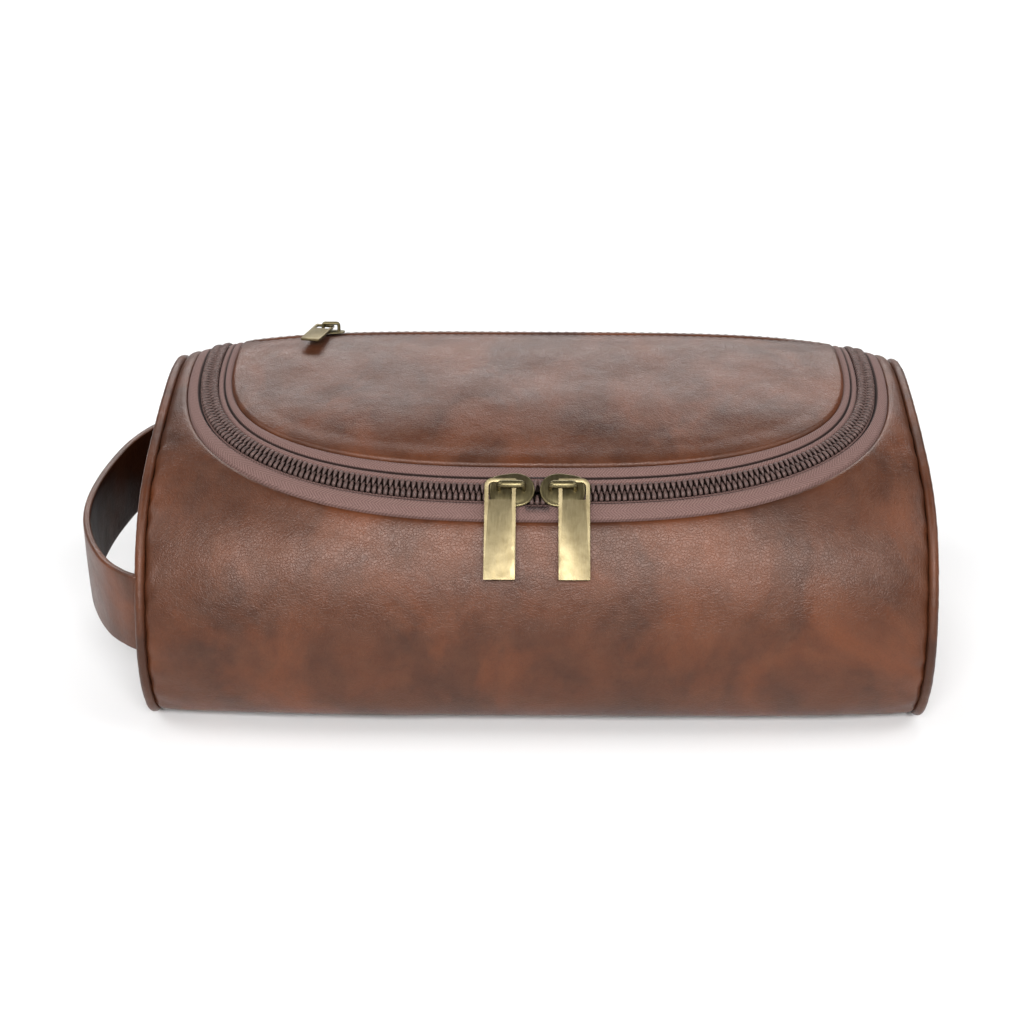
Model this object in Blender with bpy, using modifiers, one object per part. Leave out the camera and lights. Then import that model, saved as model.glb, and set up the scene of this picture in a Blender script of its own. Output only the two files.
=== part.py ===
"""Leather shaving kit bag: a loaf-shaped body with piped ends, a lid closed by a U-shaped zipper with
two sliders, a zipped pocket along the lid's back edge, and a wrist strap on the left end.

Metres, +Z up. The origin is the middle of the flat base. The front faces -Y and the strap is at -X."""

import math

import bmesh
import bpy
import numpy as np
from mathutils import Matrix, Vector

# ---------------------------------------------------------------- driving dimensions
SEAM_X = 0.130  # middle to each end seam
WRAP_X = 0.1280  # middle to each edge of the wrap
GAP = 0.0003  # clearance between neighbouring pieces
BASE_DEPTH_MIDDLE = 0.064  # from the end outline's front to the origin

# Control points (y, z) in mm of closed cubic B-splines, from the middle of the base, forwards, up and back
END_OUTLINE = (
    (64, 0), (38, 0), (8, 0), (-1, 13), (-6.5, 34), (11, 73), (40, 84.5),
    (72, 91), (102, 95), (127, 82), (130, 40), (128, 6), (112, 0), (88, 0),
)
MIDDLE_OUTLINE = (
    (64, 0), (36, 0), (10, 0), (-9, 11), (-9.5, 44), (9, 80), (40, 94.5),
    (70, 98), (109, 103), (134, 90), (138, 42), (134, 7), (114, 0), (90, 0),
)
BULGE_POWER, BULGE_EASE = 4.0, 0.8  # how the end outline swells into the middle one

WRAP_THICK = 0.0018  # leather with its bonded foam
LID_THICK = 0.0018
BOARD_DEPTH, BOARD_THICK = 0.0021, 0.0012
BOARD_X, BOARD_FRONT, BOARD_BACK, BOARD_CORNER = 0.104, -0.030, 0.028, 0.008
LINING_DEPTH, LINING_THICK = 0.0036, 0.0008
LINING_REACH, LINING_SIDE = 0.0025, 0.0022  # the lining's edges inside the wrap's edges
BAND_GIRTH = 0.095  # low on the front, where rays from the U end and plain rows round the base begin

PIPE_RADIUS, PIPE_INSET = 0.0017, 0.0006
PANEL_THICK = 0.0014
END_LINING_INSET, END_LINING_DEPTH = 0.0075, 0.0016
BINDING_OUTER, BINDING_INNER = 0.0076, 0.0136  # the seam binding's two edges, inside the end outline
BINDING_DEPTH, BINDING_THICK = 0.0032, 0.0014

# The zipper's U, as a superellipse in x and girth: girth is the distance round the middle outline
ZIP_HALF_WIDTH, ZIP_REACH, ZIP_LEGS_FROM, ZIP_POWER = 0.116, 0.084, 0.235, 3.0
HINGE_GIRTH = 0.268
TAPE_REACH_SIDE, TAPE_REACH_FRONT = 0.0076, 0.0100  # chain middle to leather edge
TAPE_TOP, TAPE_THICK = -0.0006, 0.0008
COIL_INNER, COIL_OUTER = 0.0011, 0.0034
COIL_TOP, COIL_THICK = 0.0010, 0.0013
SLIDER_NOTCH_X = 0.0195  # the lid's coil and tape are open under the two parked sliders
SLIDER_NOTCH_REACH = 0.0062

LID_CORNER_SHARE = 0.226  # of the U's length from a leg's end to where the lid's front edge begins
LID_LINING_REACH, LID_LINING_END, LID_LINING_DEPTH = 0.0030, 0.2595, 0.0046
POCKET_SHEET_X, POCKET_SHEET_GIRTHS = 0.092, (0.185, 0.2440)
POCKET_SHEET_DEPTH, POCKET_SHEET_THICK = 0.0031, 0.0006
HINGE_TAPE_X, HINGE_TAPE_BEFORE, HINGE_TAPE_AFTER = 0.106, 0.0060, 0.0070
HINGE_TAPE_DEPTH, HINGE_TAPE_THICK = 0.0027, 0.0007

SLIDER_X = 0.0082  # parked place of each slider's middle
SLIDER_FAR_X = 0.070  # third point, with the parked and middle ones, of the arc that a slider runs along
PLATE_BOTTOM, PLATE_TOP = 0.0014, 0.0022
NOSE_X, NOSE_LONG, NOSE_WIDE = -0.0016, 0.0051, 0.0052  # the plate's round end: centre and half sizes
TAIL_CORNERS = ((0.0040, 0.0044), (0.0062, 0.0040), (0.0067, 0.0034))
ARCH_RADIUS, ARCH_HEIGHT, ARCH_BEND = 0.0009, 0.0062, 0.0016
ARCH_INNER, ARCH_OUTER = -0.0039, 0.0043  # the arch's two feet along the chain
SINK = 0.0004  # how far joined pieces run into each other
SLIDER_BOXES = {  # lowest and highest corners in the slider's frame: x to the tail, y down, z outwards
    "rail_low": ((-0.0020, -0.0050, -0.0001), (0.0060, -0.0043, PLATE_BOTTOM + SINK)),
    "rail_high": ((-0.0020, 0.0043, -0.0001), (0.0060, 0.0050, PLATE_BOTTOM + SINK)),
    "post": ((-0.0052, -0.0004, -0.0022), (-0.0034, 0.0004, PLATE_BOTTOM + SINK)),
    "foot": ((-0.0056, -0.0040, -0.0028), (0.0056, 0.0040, -0.0019)),
}

PULL_WIDTH, PULL_THICK, PULL_LENGTH = 0.0102, 0.0014, 0.0334
PULL_BORDER, PULL_WINDOW = 0.0013, 0.0058
PULL_CORNER, WINDOW_CORNER, PULL_CLEARANCE = 0.0009, 0.0006, 0.0004
PULL_HEIGHT = 0.0043
PULL_SIDE = -0.0005  # the pull's middle from the arch's outer foot, along the chain
PULL_TILT = math.radians(15.5)

POCKET_GIRTH, POCKET_GAP = 0.2485, 0.0042
POCKET_X = (-0.098, 0.086)
POCKET_SLIDER_X = -0.076
POCKET_SCALE = 0.70
POCKET_LIFT = 0.0001  # the pocket slider's frame above the leather
POCKET_PULL_TILT, POCKET_PULL_TURN = math.radians(9), math.radians(-12)
POCKET_PULL_SHARE = 0.78  # of the main pull's length, before scaling
POCKET_COIL_INNER, POCKET_COIL_DEPTH, POCKET_COIL_THICK = 0.0004, 0.0004, 0.0012
POCKET_TAPE_INNER, POCKET_TAPE_OUTER, POCKET_TAPE_EXTRA = 0.0006, 0.0066, 0.003
POCKET_TAPE_DEPTH, POCKET_TAPE_THICK = 0.0021, 0.0005
STOP_AWAY, STOP_HALF_X, STOP_HALF_GIRTH = 0.0022, 0.0013, 0.0016

STRAP_WIDTH, STRAP_THICK, STRAP_MIDDLE_Z = 0.029, 0.0024, 0.0435
STRAP_ROUTE = (
    (-0.1322, -0.0602), (-0.1360, -0.0568), (-0.1425, -0.0500), (-0.1482, -0.0405), (-0.1530, -0.0290),
    (-0.1562, -0.0165), (-0.1575, -0.0030), (-0.1570, 0.0120), (-0.1550, 0.0270), (-0.1518, 0.0410),
    (-0.1460, 0.0540), (-0.1395, 0.0605), (-0.1322, 0.0625),
)
STRAP_TAPER, STRAP_ROOT_SHARE = 0.0160, 0.10  # length of each narrowing end, and its width at the seam

# ---------------------------------------------------------------- scene set-up
for old in list(bpy.data.objects):
    bpy.data.objects.remove(old, do_unlink=True)

PARTS = bpy.data.collections.new("shaving_kit_bag")
CUTTERS = bpy.data.collections.new("cutters")
bpy.context.scene.collection.children.link(PARTS)
bpy.context.scene.collection.children.link(CUTTERS)


def material(name, color, roughness, metallic=0.0):
    made = bpy.data.materials.new(name)
    made.use_nodes = True
    shader = made.node_tree.nodes["Principled BSDF"]
    shader.inputs["Base Color"].default_value = (*color, 1.0)
    shader.inputs["Roughness"].default_value = roughness
    shader.inputs["Metallic"].default_value = metallic
    return made


LEATHER = ((0.155, 0.048, 0.022), 0.42)
PIPING = ((0.120, 0.040, 0.022), 0.40)
LINING = ((0.030, 0.024, 0.020), 0.75)
TAPE = ((0.160, 0.085, 0.075), 0.80)
COIL = ((0.050, 0.026, 0.020), 0.45)
BRASS = ((0.420, 0.340, 0.180), 0.35, 1.0)
BOARD = ((0.300, 0.280, 0.240), 0.85)


# ---------------------------------------------------------------- the bag's surface
def spline_point(outline, t):
    """Points of a closed uniform cubic B-spline at parameters t, as (..., 2) in metres."""
    points = np.array(outline, float) / 1000
    t = np.asarray(t, float)
    start = np.floor(t).astype(int)
    f = t - start
    weights = (
        (1 - f) ** 3 / 6,
        (3 * f**3 - 6 * f**2 + 4) / 6,
        (-3 * f**3 + 3 * f**2 + 3 * f + 1) / 6,
        f**3 / 6,
    )
    return sum(w[..., None] * points[(start - 1 + k) % len(points)] for k, w in enumerate(weights))


TURNS = len(MIDDLE_OUTLINE)
TABLE_T = np.linspace(0, TURNS, 2801)
TABLE_STEPS = np.linalg.norm(np.diff(spline_point(MIDDLE_OUTLINE, TABLE_T), axis=0), axis=1)
TABLE_GIRTH = np.concatenate([[0.0], np.cumsum(TABLE_STEPS)])
GIRTH = TABLE_GIRTH[-1]


def to_t(girth):
    return np.interp(np.mod(girth, GIRTH), TABLE_GIRTH, TABLE_T)


def to_girth(t):
    return np.interp(np.mod(t, TURNS), TABLE_T, TABLE_GIRTH)


def bulge(x):
    share = np.clip(np.abs(x) / SEAM_X, 0, 1)
    return (1 - share**BULGE_POWER) ** BULGE_EASE


def surface_at(x, t):
    x, t = np.broadcast_arrays(np.asarray(x, float), np.asarray(t, float))
    end, middle = spline_point(END_OUTLINE, t), spline_point(MIDDLE_OUTLINE, t)
    yz = end + (middle - end) * bulge(x)[..., None]
    return np.stack([x, yz[..., 0] - BASE_DEPTH_MIDDLE, yz[..., 1]], -1)


def normal_at(x, t):
    """The outward unit normal."""
    x, t = np.broadcast_arrays(np.asarray(x, float), np.asarray(t, float))
    across = surface_at(x + 1e-4, t) - surface_at(x - 1e-4, t)
    along = surface_at(x, t + 1e-3) - surface_at(x, t - 1e-3)
    normal = np.cross(across, along)
    return normal / np.linalg.norm(normal, axis=-1, keepdims=True)


def skin(x, girth, height=0.0):
    """The point at x and this girth, raised off the surface by height."""
    t = to_t(girth)
    return surface_at(x, t) + normal_at(x, t) * np.asarray(height, float)[..., None]


# ---------------------------------------------------------------- mesh helpers
def to_object(name, mesh, look, collection=PARTS):
    obj = bpy.data.objects.new(name, mesh)
    collection.objects.link(obj)
    if look:
        mesh.materials.append(material(name, *look))
    return obj


BAG_MIDDLE = Vector((0.0, 0.0, 0.050))


def grid_mesh(name, blocks):
    """One open mesh from blocks of grid points, joined where their edges meet, facing away from the bag."""
    made = bmesh.new()
    for block in blocks:
        rows = [[made.verts.new(point) for point in row] for row in block]
        for a, b in zip(rows, rows[1:]):
            for k in range(len(a) - 1):
                corners = (a[k], a[k + 1], b[k + 1], b[k])
                made.faces.new(corners)
    bmesh.ops.remove_doubles(made, verts=made.verts[:], dist=1e-6)
    bmesh.ops.recalc_face_normals(made, faces=made.faces[:])
    outwards = sum((face.calc_center_median() - BAG_MIDDLE).dot(face.normal) for face in made.faces)
    if outwards < 0:
        bmesh.ops.reverse_faces(made, faces=made.faces[:])
    mesh = bpy.data.meshes.new(name)
    made.to_mesh(mesh)
    made.free()
    mesh.shade_smooth()
    return mesh


def shell(name, blocks, thickness, look):
    """A shell that lies inside the surface through the blocks."""
    obj = to_object(name, grid_mesh(name, blocks), look)
    thicken = obj.modifiers.new("thickness", "SOLIDIFY")
    thicken.thickness = thickness
    thicken.offset = -1
    return obj


def curve_object(name, points, radius, look, cyclic=False, resolution=2, collection=PARTS):
    curve = bpy.data.curves.new(name, "CURVE")
    curve.dimensions = "3D"
    curve.bevel_depth = radius
    curve.bevel_resolution = resolution
    curve.use_fill_caps = not cyclic
    spline = curve.splines.new("POLY")
    spline.points.add(len(points) - 1)
    for place, point in zip(spline.points, points):
        place.co = (*point, 1.0)
    spline.use_cyclic_u = cyclic
    obj = bpy.data.objects.new(name, curve)
    collection.objects.link(obj)
    if look:
        curve.materials.append(material(name, *look))
    return obj


def outline_object(name, outlines, thickness, look, matrix=None, collection=PARTS):
    """A flat plate from closed outlines in its own x and y, centred on its own z = 0."""
    curve = bpy.data.curves.new(name, "CURVE")
    curve.dimensions = "2D"
    curve.fill_mode = "BOTH"
    curve.extrude = thickness / 2
    for outline in outlines:
        spline = curve.splines.new("POLY")
        spline.points.add(len(outline) - 1)
        for place, (x, y) in zip(spline.points, outline):
            place.co = (x, y, 0.0, 1.0)
        spline.use_cyclic_u = True
    obj = bpy.data.objects.new(name, curve)
    collection.objects.link(obj)
    if look:
        curve.materials.append(material(name, *look))
    if matrix is not None:
        obj.matrix_world = matrix
    return obj


def as_mesh(obj, look=None, collection=None):
    """The same object as a welded mesh, in place of the curve."""
    bpy.context.view_layer.update()
    graph = bpy.context.evaluated_depsgraph_get()
    mesh = bpy.data.meshes.new_from_object(obj.evaluated_get(graph))
    welded = bmesh.new()
    welded.from_mesh(mesh)
    bmesh.ops.remove_doubles(welded, verts=welded.verts[:], dist=1e-6)
    welded.to_mesh(mesh)
    welded.free()
    name, place = obj.name, obj.matrix_world.copy()
    collection = collection or obj.users_collection[0]
    bpy.data.objects.remove(obj, do_unlink=True)
    mesh.materials.clear()
    solid = to_object(name, mesh, look, collection)
    solid.matrix_world = place
    return solid


def rounded_rectangle(left, right, low, high, radius, steps=3):
    outline = []
    corners = ((right, high, 0), (left, high, 90), (left, low, 180), (right, low, 270))
    for x, y, start in corners:
        centre_x = x - radius if x == right else x + radius
        centre_y = y - radius if y == high else y + radius
        for k in range(steps + 1):
            angle = math.radians(start + 90 * k / steps)
            outline.append((centre_x + radius * math.cos(angle), centre_y + radius * math.sin(angle)))
    return outline


def settle(obj, matrix):
    """Moves the mesh by the matrix, and turns its faces back when the matrix mirrors them."""
    obj.data.transform(matrix)
    if matrix.determinant() < 0:
        obj.data.flip_normals()


def unite(target, others):
    """Joins the others into the target, and hides them among the cutters."""
    for other in others:
        join = target.modifiers.new("join_" + other.name, "BOOLEAN")
        join.operation = "UNION"
        join.object = other
        other.hide_render = True
        other.display_type = "WIRE"


# ---------------------------------------------------------------- the zipper's line
def resampled(points, count):
    points = np.asarray(points, float)
    steps = np.linalg.norm(np.diff(points, axis=0), axis=1)
    length = np.concatenate([[0.0], np.cumsum(steps)])
    places = np.linspace(0, length[-1], count)
    return np.stack([np.interp(places, length, points[:, k]) for k in range(points.shape[1])], 1)


def zip_line(leg_end, count):
    """The chain's middle in (x, girth), evenly spaced from the left leg's end round to the right one's."""
    angle = np.linspace(0, math.pi / 2, 400)
    x = ZIP_HALF_WIDTH * np.cos(angle) ** (2 / ZIP_POWER)
    girth = ZIP_LEGS_FROM - ZIP_REACH * np.sin(angle) ** (2 / ZIP_POWER)
    half = np.vstack([[ZIP_HALF_WIDTH, leg_end], np.stack([x, girth], 1)])
    left = half * (-1, 1)
    return resampled(np.vstack([left, half[::-1][1:]]), count)


def outward(line):
    """The unit normals of the line in (x, girth), pointing away from the lid."""
    along = np.gradient(line, axis=0)
    along /= np.linalg.norm(along, axis=1, keepdims=True)
    return np.stack([along[:, 1], -along[:, 0]], 1)


def leather_reach(line):
    """From the chain's middle to the leather's edge: wider at the front than at the sides."""
    share = np.clip(np.abs(line[:, 0]) / ZIP_HALF_WIDTH, 0, 1)
    return TAPE_REACH_SIDE + (TAPE_REACH_FRONT - TAPE_REACH_SIDE) * (1 - share**6)


def offset_line(line, reach):
    return line + outward(line) * np.broadcast_to(reach, len(line))[:, None]


def ribbon(name, line, reaches, top, thick, look):
    """A band between two offsets of a line on the surface."""
    rows = [offset_line(line, reach) for reach in reaches]
    block = [skin(row[:, 0], row[:, 1], np.full(len(row), top)) for row in rows]
    return shell(name, [block], thick, look)


# ---------------------------------------------------------------- body
def wrap_blocks(depth, reach_extra, x_edge, leg_parts, front_parts, rays, row_step):
    """The body's sheet round the U opening: rays from the U out to the ends, then rows round the base."""
    leg = zip_line(HINGE_GIRTH, 4 * (2 * leg_parts + front_parts) + 1)
    inner = offset_line(leg, leather_reach(leg) + reach_extra)
    inner[:, 1] = np.minimum(inner[:, 1], HINGE_GIRTH)
    inner = resampled(inner, 2 * leg_parts + front_parts + 2 * rays + 1)
    top_x = abs(inner[0, 0])
    side = np.linspace(HINGE_GIRTH, BAND_GIRTH, leg_parts + 1)
    narrow = np.linspace(x_edge, top_x, rays + 1)
    columns = np.concatenate([-narrow, np.linspace(-top_x, top_x, front_parts + 1)[1:-1], narrow[::-1]])
    outer = np.vstack([
        np.stack([np.full(leg_parts, -x_edge), side[:-1]], 1),
        np.stack([columns, np.full(len(columns), BAND_GIRTH)], 1),
        np.stack([np.full(leg_parts, x_edge), side[::-1][1:]], 1),
    ])
    shares = np.linspace(0, 1, rays + 1)[:, None, None]
    plane = inner[None] * (1 - shares) + outer[None] * shares
    plane[:, 0] = np.stack([-narrow[::-1], np.full(rays + 1, HINGE_GIRTH)], 1)
    plane[:, -1] = plane[:, 0] * (-1, 1)
    upper = skin(plane[..., 0], plane[..., 1], np.full(plane.shape[:2], -depth))
    t_rows = np.arange(to_t(BAND_GIRTH) - row_step, to_t(HINGE_GIRTH) - TURNS + row_step * 0.6, -row_step)
    girths = np.concatenate([[BAND_GIRTH], to_girth(t_rows), [HINGE_GIRTH]])
    grid_x, grid_girth = np.meshgrid(columns, girths)
    lower = skin(grid_x, grid_girth, np.full(grid_x.shape, -depth))
    return [upper, lower]


def make_body():
    shell("body_wrap", wrap_blocks(0.0, 2 * GAP, WRAP_X, 12, 24, 5, 0.42), WRAP_THICK, LEATHER)
    lining = wrap_blocks(LINING_DEPTH, LINING_REACH, WRAP_X - LINING_SIDE, 9, 16, 3, 0.56)
    shell("body_lining", lining, LINING_THICK, LINING)
    board = rounded_rectangle(-BOARD_X, BOARD_X, BOARD_FRONT, BOARD_BACK, BOARD_CORNER)
    place = Matrix.Translation((0, 0, BOARD_DEPTH + BOARD_THICK / 2))
    outline_object("base_board", [board], BOARD_THICK, BOARD, place)


def end_outline(inset, count):
    """Points (y, z) of the end outline, moved inwards by inset and kept off the ground."""
    t = np.linspace(0, TURNS, 6 * count + 1)
    points = spline_point(END_OUTLINE, t)
    along = np.gradient(points, axis=0)
    along /= np.linalg.norm(along, axis=1, keepdims=True)
    points = points + np.stack([along[:, 1], -along[:, 0]], 1) * inset
    points = resampled(points, count + 1)[:-1]
    return points - (BASE_DEPTH_MIDDLE, 0.0)


def end_plate(name, side, depth, insets, count, thickness, look):
    """A flat piece in the end's outline, depth inside the seam, with a hole where a second inset is given."""
    turn = Matrix(((0, 0, 1, 0), (1, 0, 0, 0), (0, 1, 0, 0), (0, 0, 0, 1)))
    outlines = [end_outline(inset, count) for inset in insets]
    for outline in outlines:
        outline[:, 1] = np.maximum(outline[:, 1], 2 * (PIPE_RADIUS + GAP))
    place = Matrix.Translation((side * (SEAM_X - depth), 0, 0)) @ turn
    outline_object(name, outlines, thickness, look, place)


def make_ends():
    panel_inset = PIPE_INSET + PIPE_RADIUS + GAP
    for side, name in ((-1, "left"), (1, "right")):
        pipe = end_outline(PIPE_INSET, 56)
        pipe[:, 1] = np.maximum(pipe[:, 1], PIPE_RADIUS + GAP)
        path = [(side * SEAM_X, y, z) for y, z in pipe]
        curve_object("piping_" + name, path, PIPE_RADIUS, PIPING, cyclic=True)
        end_plate("end_panel_" + name, side, 0.0, [panel_inset], 44, PANEL_THICK, LEATHER)
        cloth = [END_LINING_INSET]
        end_plate("end_lining_" + name, side, END_LINING_DEPTH, cloth, 36, LINING_THICK, LINING)
        ring = [BINDING_OUTER, BINDING_INNER]
        end_plate("seam_binding_" + name, side, BINDING_DEPTH, ring, 36, BINDING_THICK, LINING)


# ---------------------------------------------------------------- lid
def lid_sheet(edge_reach, girth_end, height, columns, rows):
    """A sheet inside the U, from edge_reach inside the chain back to girth_end."""
    line = zip_line(girth_end, 401)
    edge = offset_line(line, -edge_reach(line))
    edge[0, 1] = edge[-1, 1] = girth_end
    girths = edge[:, 1]
    corner = int(len(edge) * LID_CORNER_SHARE)
    left = resampled(edge[: corner + 1], rows + 1)
    bottom = resampled(edge[corner:-corner], columns + 1)
    right = resampled(edge[-corner - 1 :][::-1], rows + 1)
    top = np.stack([np.linspace(left[0, 0], right[0, 0], columns + 1), np.full(columns + 1, girths[0])], 1)
    u = np.linspace(0, 1, columns + 1)[None, :, None]
    v = np.linspace(0, 1, rows + 1)[:, None, None]
    plane = (1 - v) * top[None] + v * bottom[None] + (1 - u) * left[:, None] + u * right[:, None]
    plane -= (1 - v) * ((1 - u) * top[0] + u * top[-1]) + v * ((1 - u) * bottom[0] + u * bottom[-1])
    return [skin(plane[..., 0], plane[..., 1], np.full(plane.shape[:2], height))]


def strip_sheet(x_low, x_high, girth_low, girth_high, height, columns, rows):
    x_places = np.linspace(x_low, x_high, columns + 1)
    x, girth = np.meshgrid(x_places, np.linspace(girth_high, girth_low, rows + 1))
    return [skin(x, girth, np.full(x.shape, height))]


def lid_edge(line):
    return leather_reach(line) + GAP


def lid_lining_edge(line):
    return leather_reach(line) + LID_LINING_REACH


def make_lid():
    pocket_front = POCKET_GIRTH - POCKET_GAP / 2
    pocket_back = POCKET_GIRTH + POCKET_GAP / 2
    shell("lid_panel", lid_sheet(lid_edge, pocket_front, 0.0, 26, 12), LID_THICK, LEATHER)
    side_x = ZIP_HALF_WIDTH - TAPE_REACH_SIDE - GAP
    back = strip_sheet(-side_x, side_x, pocket_back, HINGE_GIRTH - 4 * GAP, 0.0, 26, 3)
    shell("lid_back_strip", back, LID_THICK, LEATHER)
    cloth = lid_sheet(lid_lining_edge, LID_LINING_END, -LID_LINING_DEPTH, 18, 10)
    shell("lid_lining", cloth, LINING_THICK, LINING)
    pocket = strip_sheet(-POCKET_SHEET_X, POCKET_SHEET_X, *POCKET_SHEET_GIRTHS, -POCKET_SHEET_DEPTH, 14, 6)
    shell("lid_pocket_sheet", pocket, POCKET_SHEET_THICK, LINING)
    low, high = HINGE_GIRTH - HINGE_TAPE_BEFORE, HINGE_GIRTH + HINGE_TAPE_AFTER
    tape = strip_sheet(-HINGE_TAPE_X, HINGE_TAPE_X, low, high, -HINGE_TAPE_DEPTH, 20, 4)
    shell("hinge_tape", tape, HINGE_TAPE_THICK, LINING)


# ---------------------------------------------------------------- zippers
def make_main_zipper():
    outer_line = zip_line(HINGE_GIRTH - 2 * GAP, 81)
    reach = leather_reach(outer_line)
    ribbon("zip_tape_body", outer_line, (COIL_INNER, reach), TAPE_TOP, TAPE_THICK, TAPE)
    ribbon("zip_coil_body", outer_line, (COIL_INNER, COIL_OUTER), COIL_TOP, COIL_THICK, COIL)
    lid_line = zip_line(HINGE_GIRTH - 4 * GAP, 81)
    near = np.where(np.abs(lid_line[:, 0]) < SLIDER_NOTCH_X, -SLIDER_NOTCH_REACH, -COIL_INNER)
    near = np.where(lid_line[:, 1] > ZIP_LEGS_FROM, -COIL_INNER, near)
    ribbon("zip_tape_lid", lid_line, (-leather_reach(lid_line), near), TAPE_TOP, TAPE_THICK, TAPE)
    half = len(lid_line) // 2
    clear = np.abs(lid_line[:, 0]) > SLIDER_NOTCH_X
    for name, part in (("left", slice(0, half)), ("right", slice(half, None))):
        line = lid_line[part][clear[part]]
        ribbon("zip_coil_lid_" + name, line, (-COIL_OUTER, -COIL_INNER), COIL_TOP, COIL_THICK, COIL)


def chain_frame(x):
    """The chain's frame at x: place, outward along the chain, down the front, and off the surface."""
    def place(value):
        share = abs(value) / ZIP_HALF_WIDTH
        girth = ZIP_LEGS_FROM - ZIP_REACH * (1 - share**ZIP_POWER) ** (1 / ZIP_POWER)
        return Vector(skin(np.array(value), np.array(girth), np.array(0.0))), girth

    here, girth = place(x)
    along = (place(x + 1e-4)[0] - place(x - 1e-4)[0]).normalized()
    if x < 0:
        along = -along
    up = Vector(normal_at(np.array(x), to_t(girth)))
    up = (up - along * up.dot(along)).normalized()
    down = up.cross(along) if x > 0 else along.cross(up)
    if down.z > 0:
        down = -down
    return here, along, down, up


def frame_matrix(origin, x_axis, y_axis, z_axis):
    rows = zip(x_axis, y_axis, z_axis, origin)
    return Matrix([list(row) for row in rows] + [[0, 0, 0, 1]])


def circle_through(a, b, c):
    """Centre and unit axis of the circle through three points."""
    ab, ac = b - a, c - a
    axis = ab.cross(ac)
    centre = a + (axis.cross(ab) * ac.length_squared + ac.cross(axis) * ab.length_squared) / (
        2 * axis.length_squared
    )
    return centre, axis.normalized()


def slider_arc(side):
    points = [chain_frame(side * x)[0] for x in (SLIDER_X, (SLIDER_X + SLIDER_FAR_X) / 2, SLIDER_FAR_X)]
    centre, axis = circle_through(*points)
    return centre, axis if axis.z > 0 else -axis


def box(name, low, high):
    bpy.ops.mesh.primitive_cube_add(size=1.0)
    obj = bpy.context.object
    obj.name = name
    for vert in obj.data.vertices:
        vert.co = [a + (b - a) * (c + 0.5) for a, b, c in zip(low, high, vert.co)]
    for user in list(obj.users_collection):
        user.objects.unlink(obj)
    CUTTERS.objects.link(obj)
    return obj


def slider_plate(scale):
    """The plate's outline: round and wide at the mouth, narrower at the tail."""
    outline = []
    for k in range(9):
        angle = math.radians(90 + 180 * k / 8)
        outline.append((NOSE_X + NOSE_LONG * math.cos(angle), NOSE_WIDE * math.sin(angle)))
    outline += [(x, -y) for x, y in TAIL_CORNERS] + list(TAIL_CORNERS[::-1])
    return [(x * scale, y * scale) for x, y in outline]


def make_slider(name, matrix, scale=1.0, with_post=True):
    """A slider in its own frame: x towards the tail, y down, z off the surface."""
    middle = (PLATE_TOP + PLATE_BOTTOM) / 2 * scale
    thick = (PLATE_TOP - PLATE_BOTTOM) * scale
    plate = outline_object(name, [slider_plate(scale)], thick, None, Matrix.Translation((0, 0, middle)))
    plate = as_mesh(plate, BRASS)
    plate.data.transform(Matrix.Translation((0, 0, middle)))
    plate.matrix_world = Matrix.Identity(4)
    height, radius = ARCH_HEIGHT * scale, ARCH_RADIUS * scale
    route = []
    centre = (ARCH_INNER + ARCH_OUTER) / 2 * scale
    half = (ARCH_OUTER - ARCH_INNER) / 2 * scale
    foot = (PLATE_TOP - SINK) * scale
    bend = ARCH_BEND * scale
    for sign in (-1, 1):
        leg = [(centre + sign * half, 0, foot), (centre + sign * half, 0, height - bend)]
        for k in range(1, 4):
            angle = math.radians(30 * k)
            away = half - bend + bend * math.cos(angle)
            leg.append((centre + sign * away, 0, height - bend + bend * math.sin(angle)))
        route += leg if sign < 0 else leg[::-1]
    arch = as_mesh(curve_object(name + "_arch", route, radius, None, collection=CUTTERS))
    pieces = [arch]
    if with_post:
        pieces += [box(name + "_" + tag, low, high) for tag, (low, high) in SLIDER_BOXES.items()]
    unite(plate, pieces)
    for piece in [plate, *pieces]:
        settle(piece, matrix)
    return plate


def make_pull(name, matrix, length=PULL_LENGTH, scale=1.0):
    """A pull in its own frame: x across, y down its length, with the arch's foot at the origin."""
    half, border = PULL_WIDTH / 2 * scale, PULL_BORDER * scale
    top = -(ARCH_RADIUS + PULL_CLEARANCE + PULL_BORDER) * scale
    middle = PULL_SIDE * scale
    low = length * scale + top
    outer = rounded_rectangle(middle - half, middle + half, top, low, PULL_CORNER * scale)
    side = half - border
    window_low, window_high = top + border, top + border + PULL_WINDOW * scale
    corner = WINDOW_CORNER * scale
    window = rounded_rectangle(middle - side, middle + side, window_low, window_high, corner)
    plate = outline_object(name, [outer, window], PULL_THICK * scale, None)
    plate = as_mesh(plate, BRASS)
    settle(plate, matrix)
    return plate


def joint_parent(name, matrix, children):
    """An empty on the joint's axis, with the moving piece under it."""
    empty = bpy.data.objects.new(name, None)
    PARTS.objects.link(empty)
    empty.matrix_world = matrix
    bpy.context.view_layer.update()
    for child in children:
        child.parent = empty
        child.matrix_parent_inverse = empty.matrix_world.inverted()


def pull_frame(matrix, tilt, foot):
    """The pull's frame at one foot of a slider's arch, tipped so that its low end nears the leather."""
    return matrix @ Matrix.Translation(foot) @ Matrix.Rotation(-tilt, 4, "X")


def make_sliders():
    for side, name in ((-1, "left"), (1, "right")):
        matrix = frame_matrix(*chain_frame(side * SLIDER_X))
        slider = make_slider("slider_" + name, matrix)
        pull_matrix = pull_frame(matrix, PULL_TILT, (ARCH_OUTER, 0, PULL_HEIGHT))
        pull = make_pull("pull_" + name, pull_matrix)
        centre, axis = slider_arc(side)
        joint_parent("slider_axis_" + name, Matrix.Translation(centre), [slider])
        joint_parent("pull_axis_" + name, pull_matrix, [pull])


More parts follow.
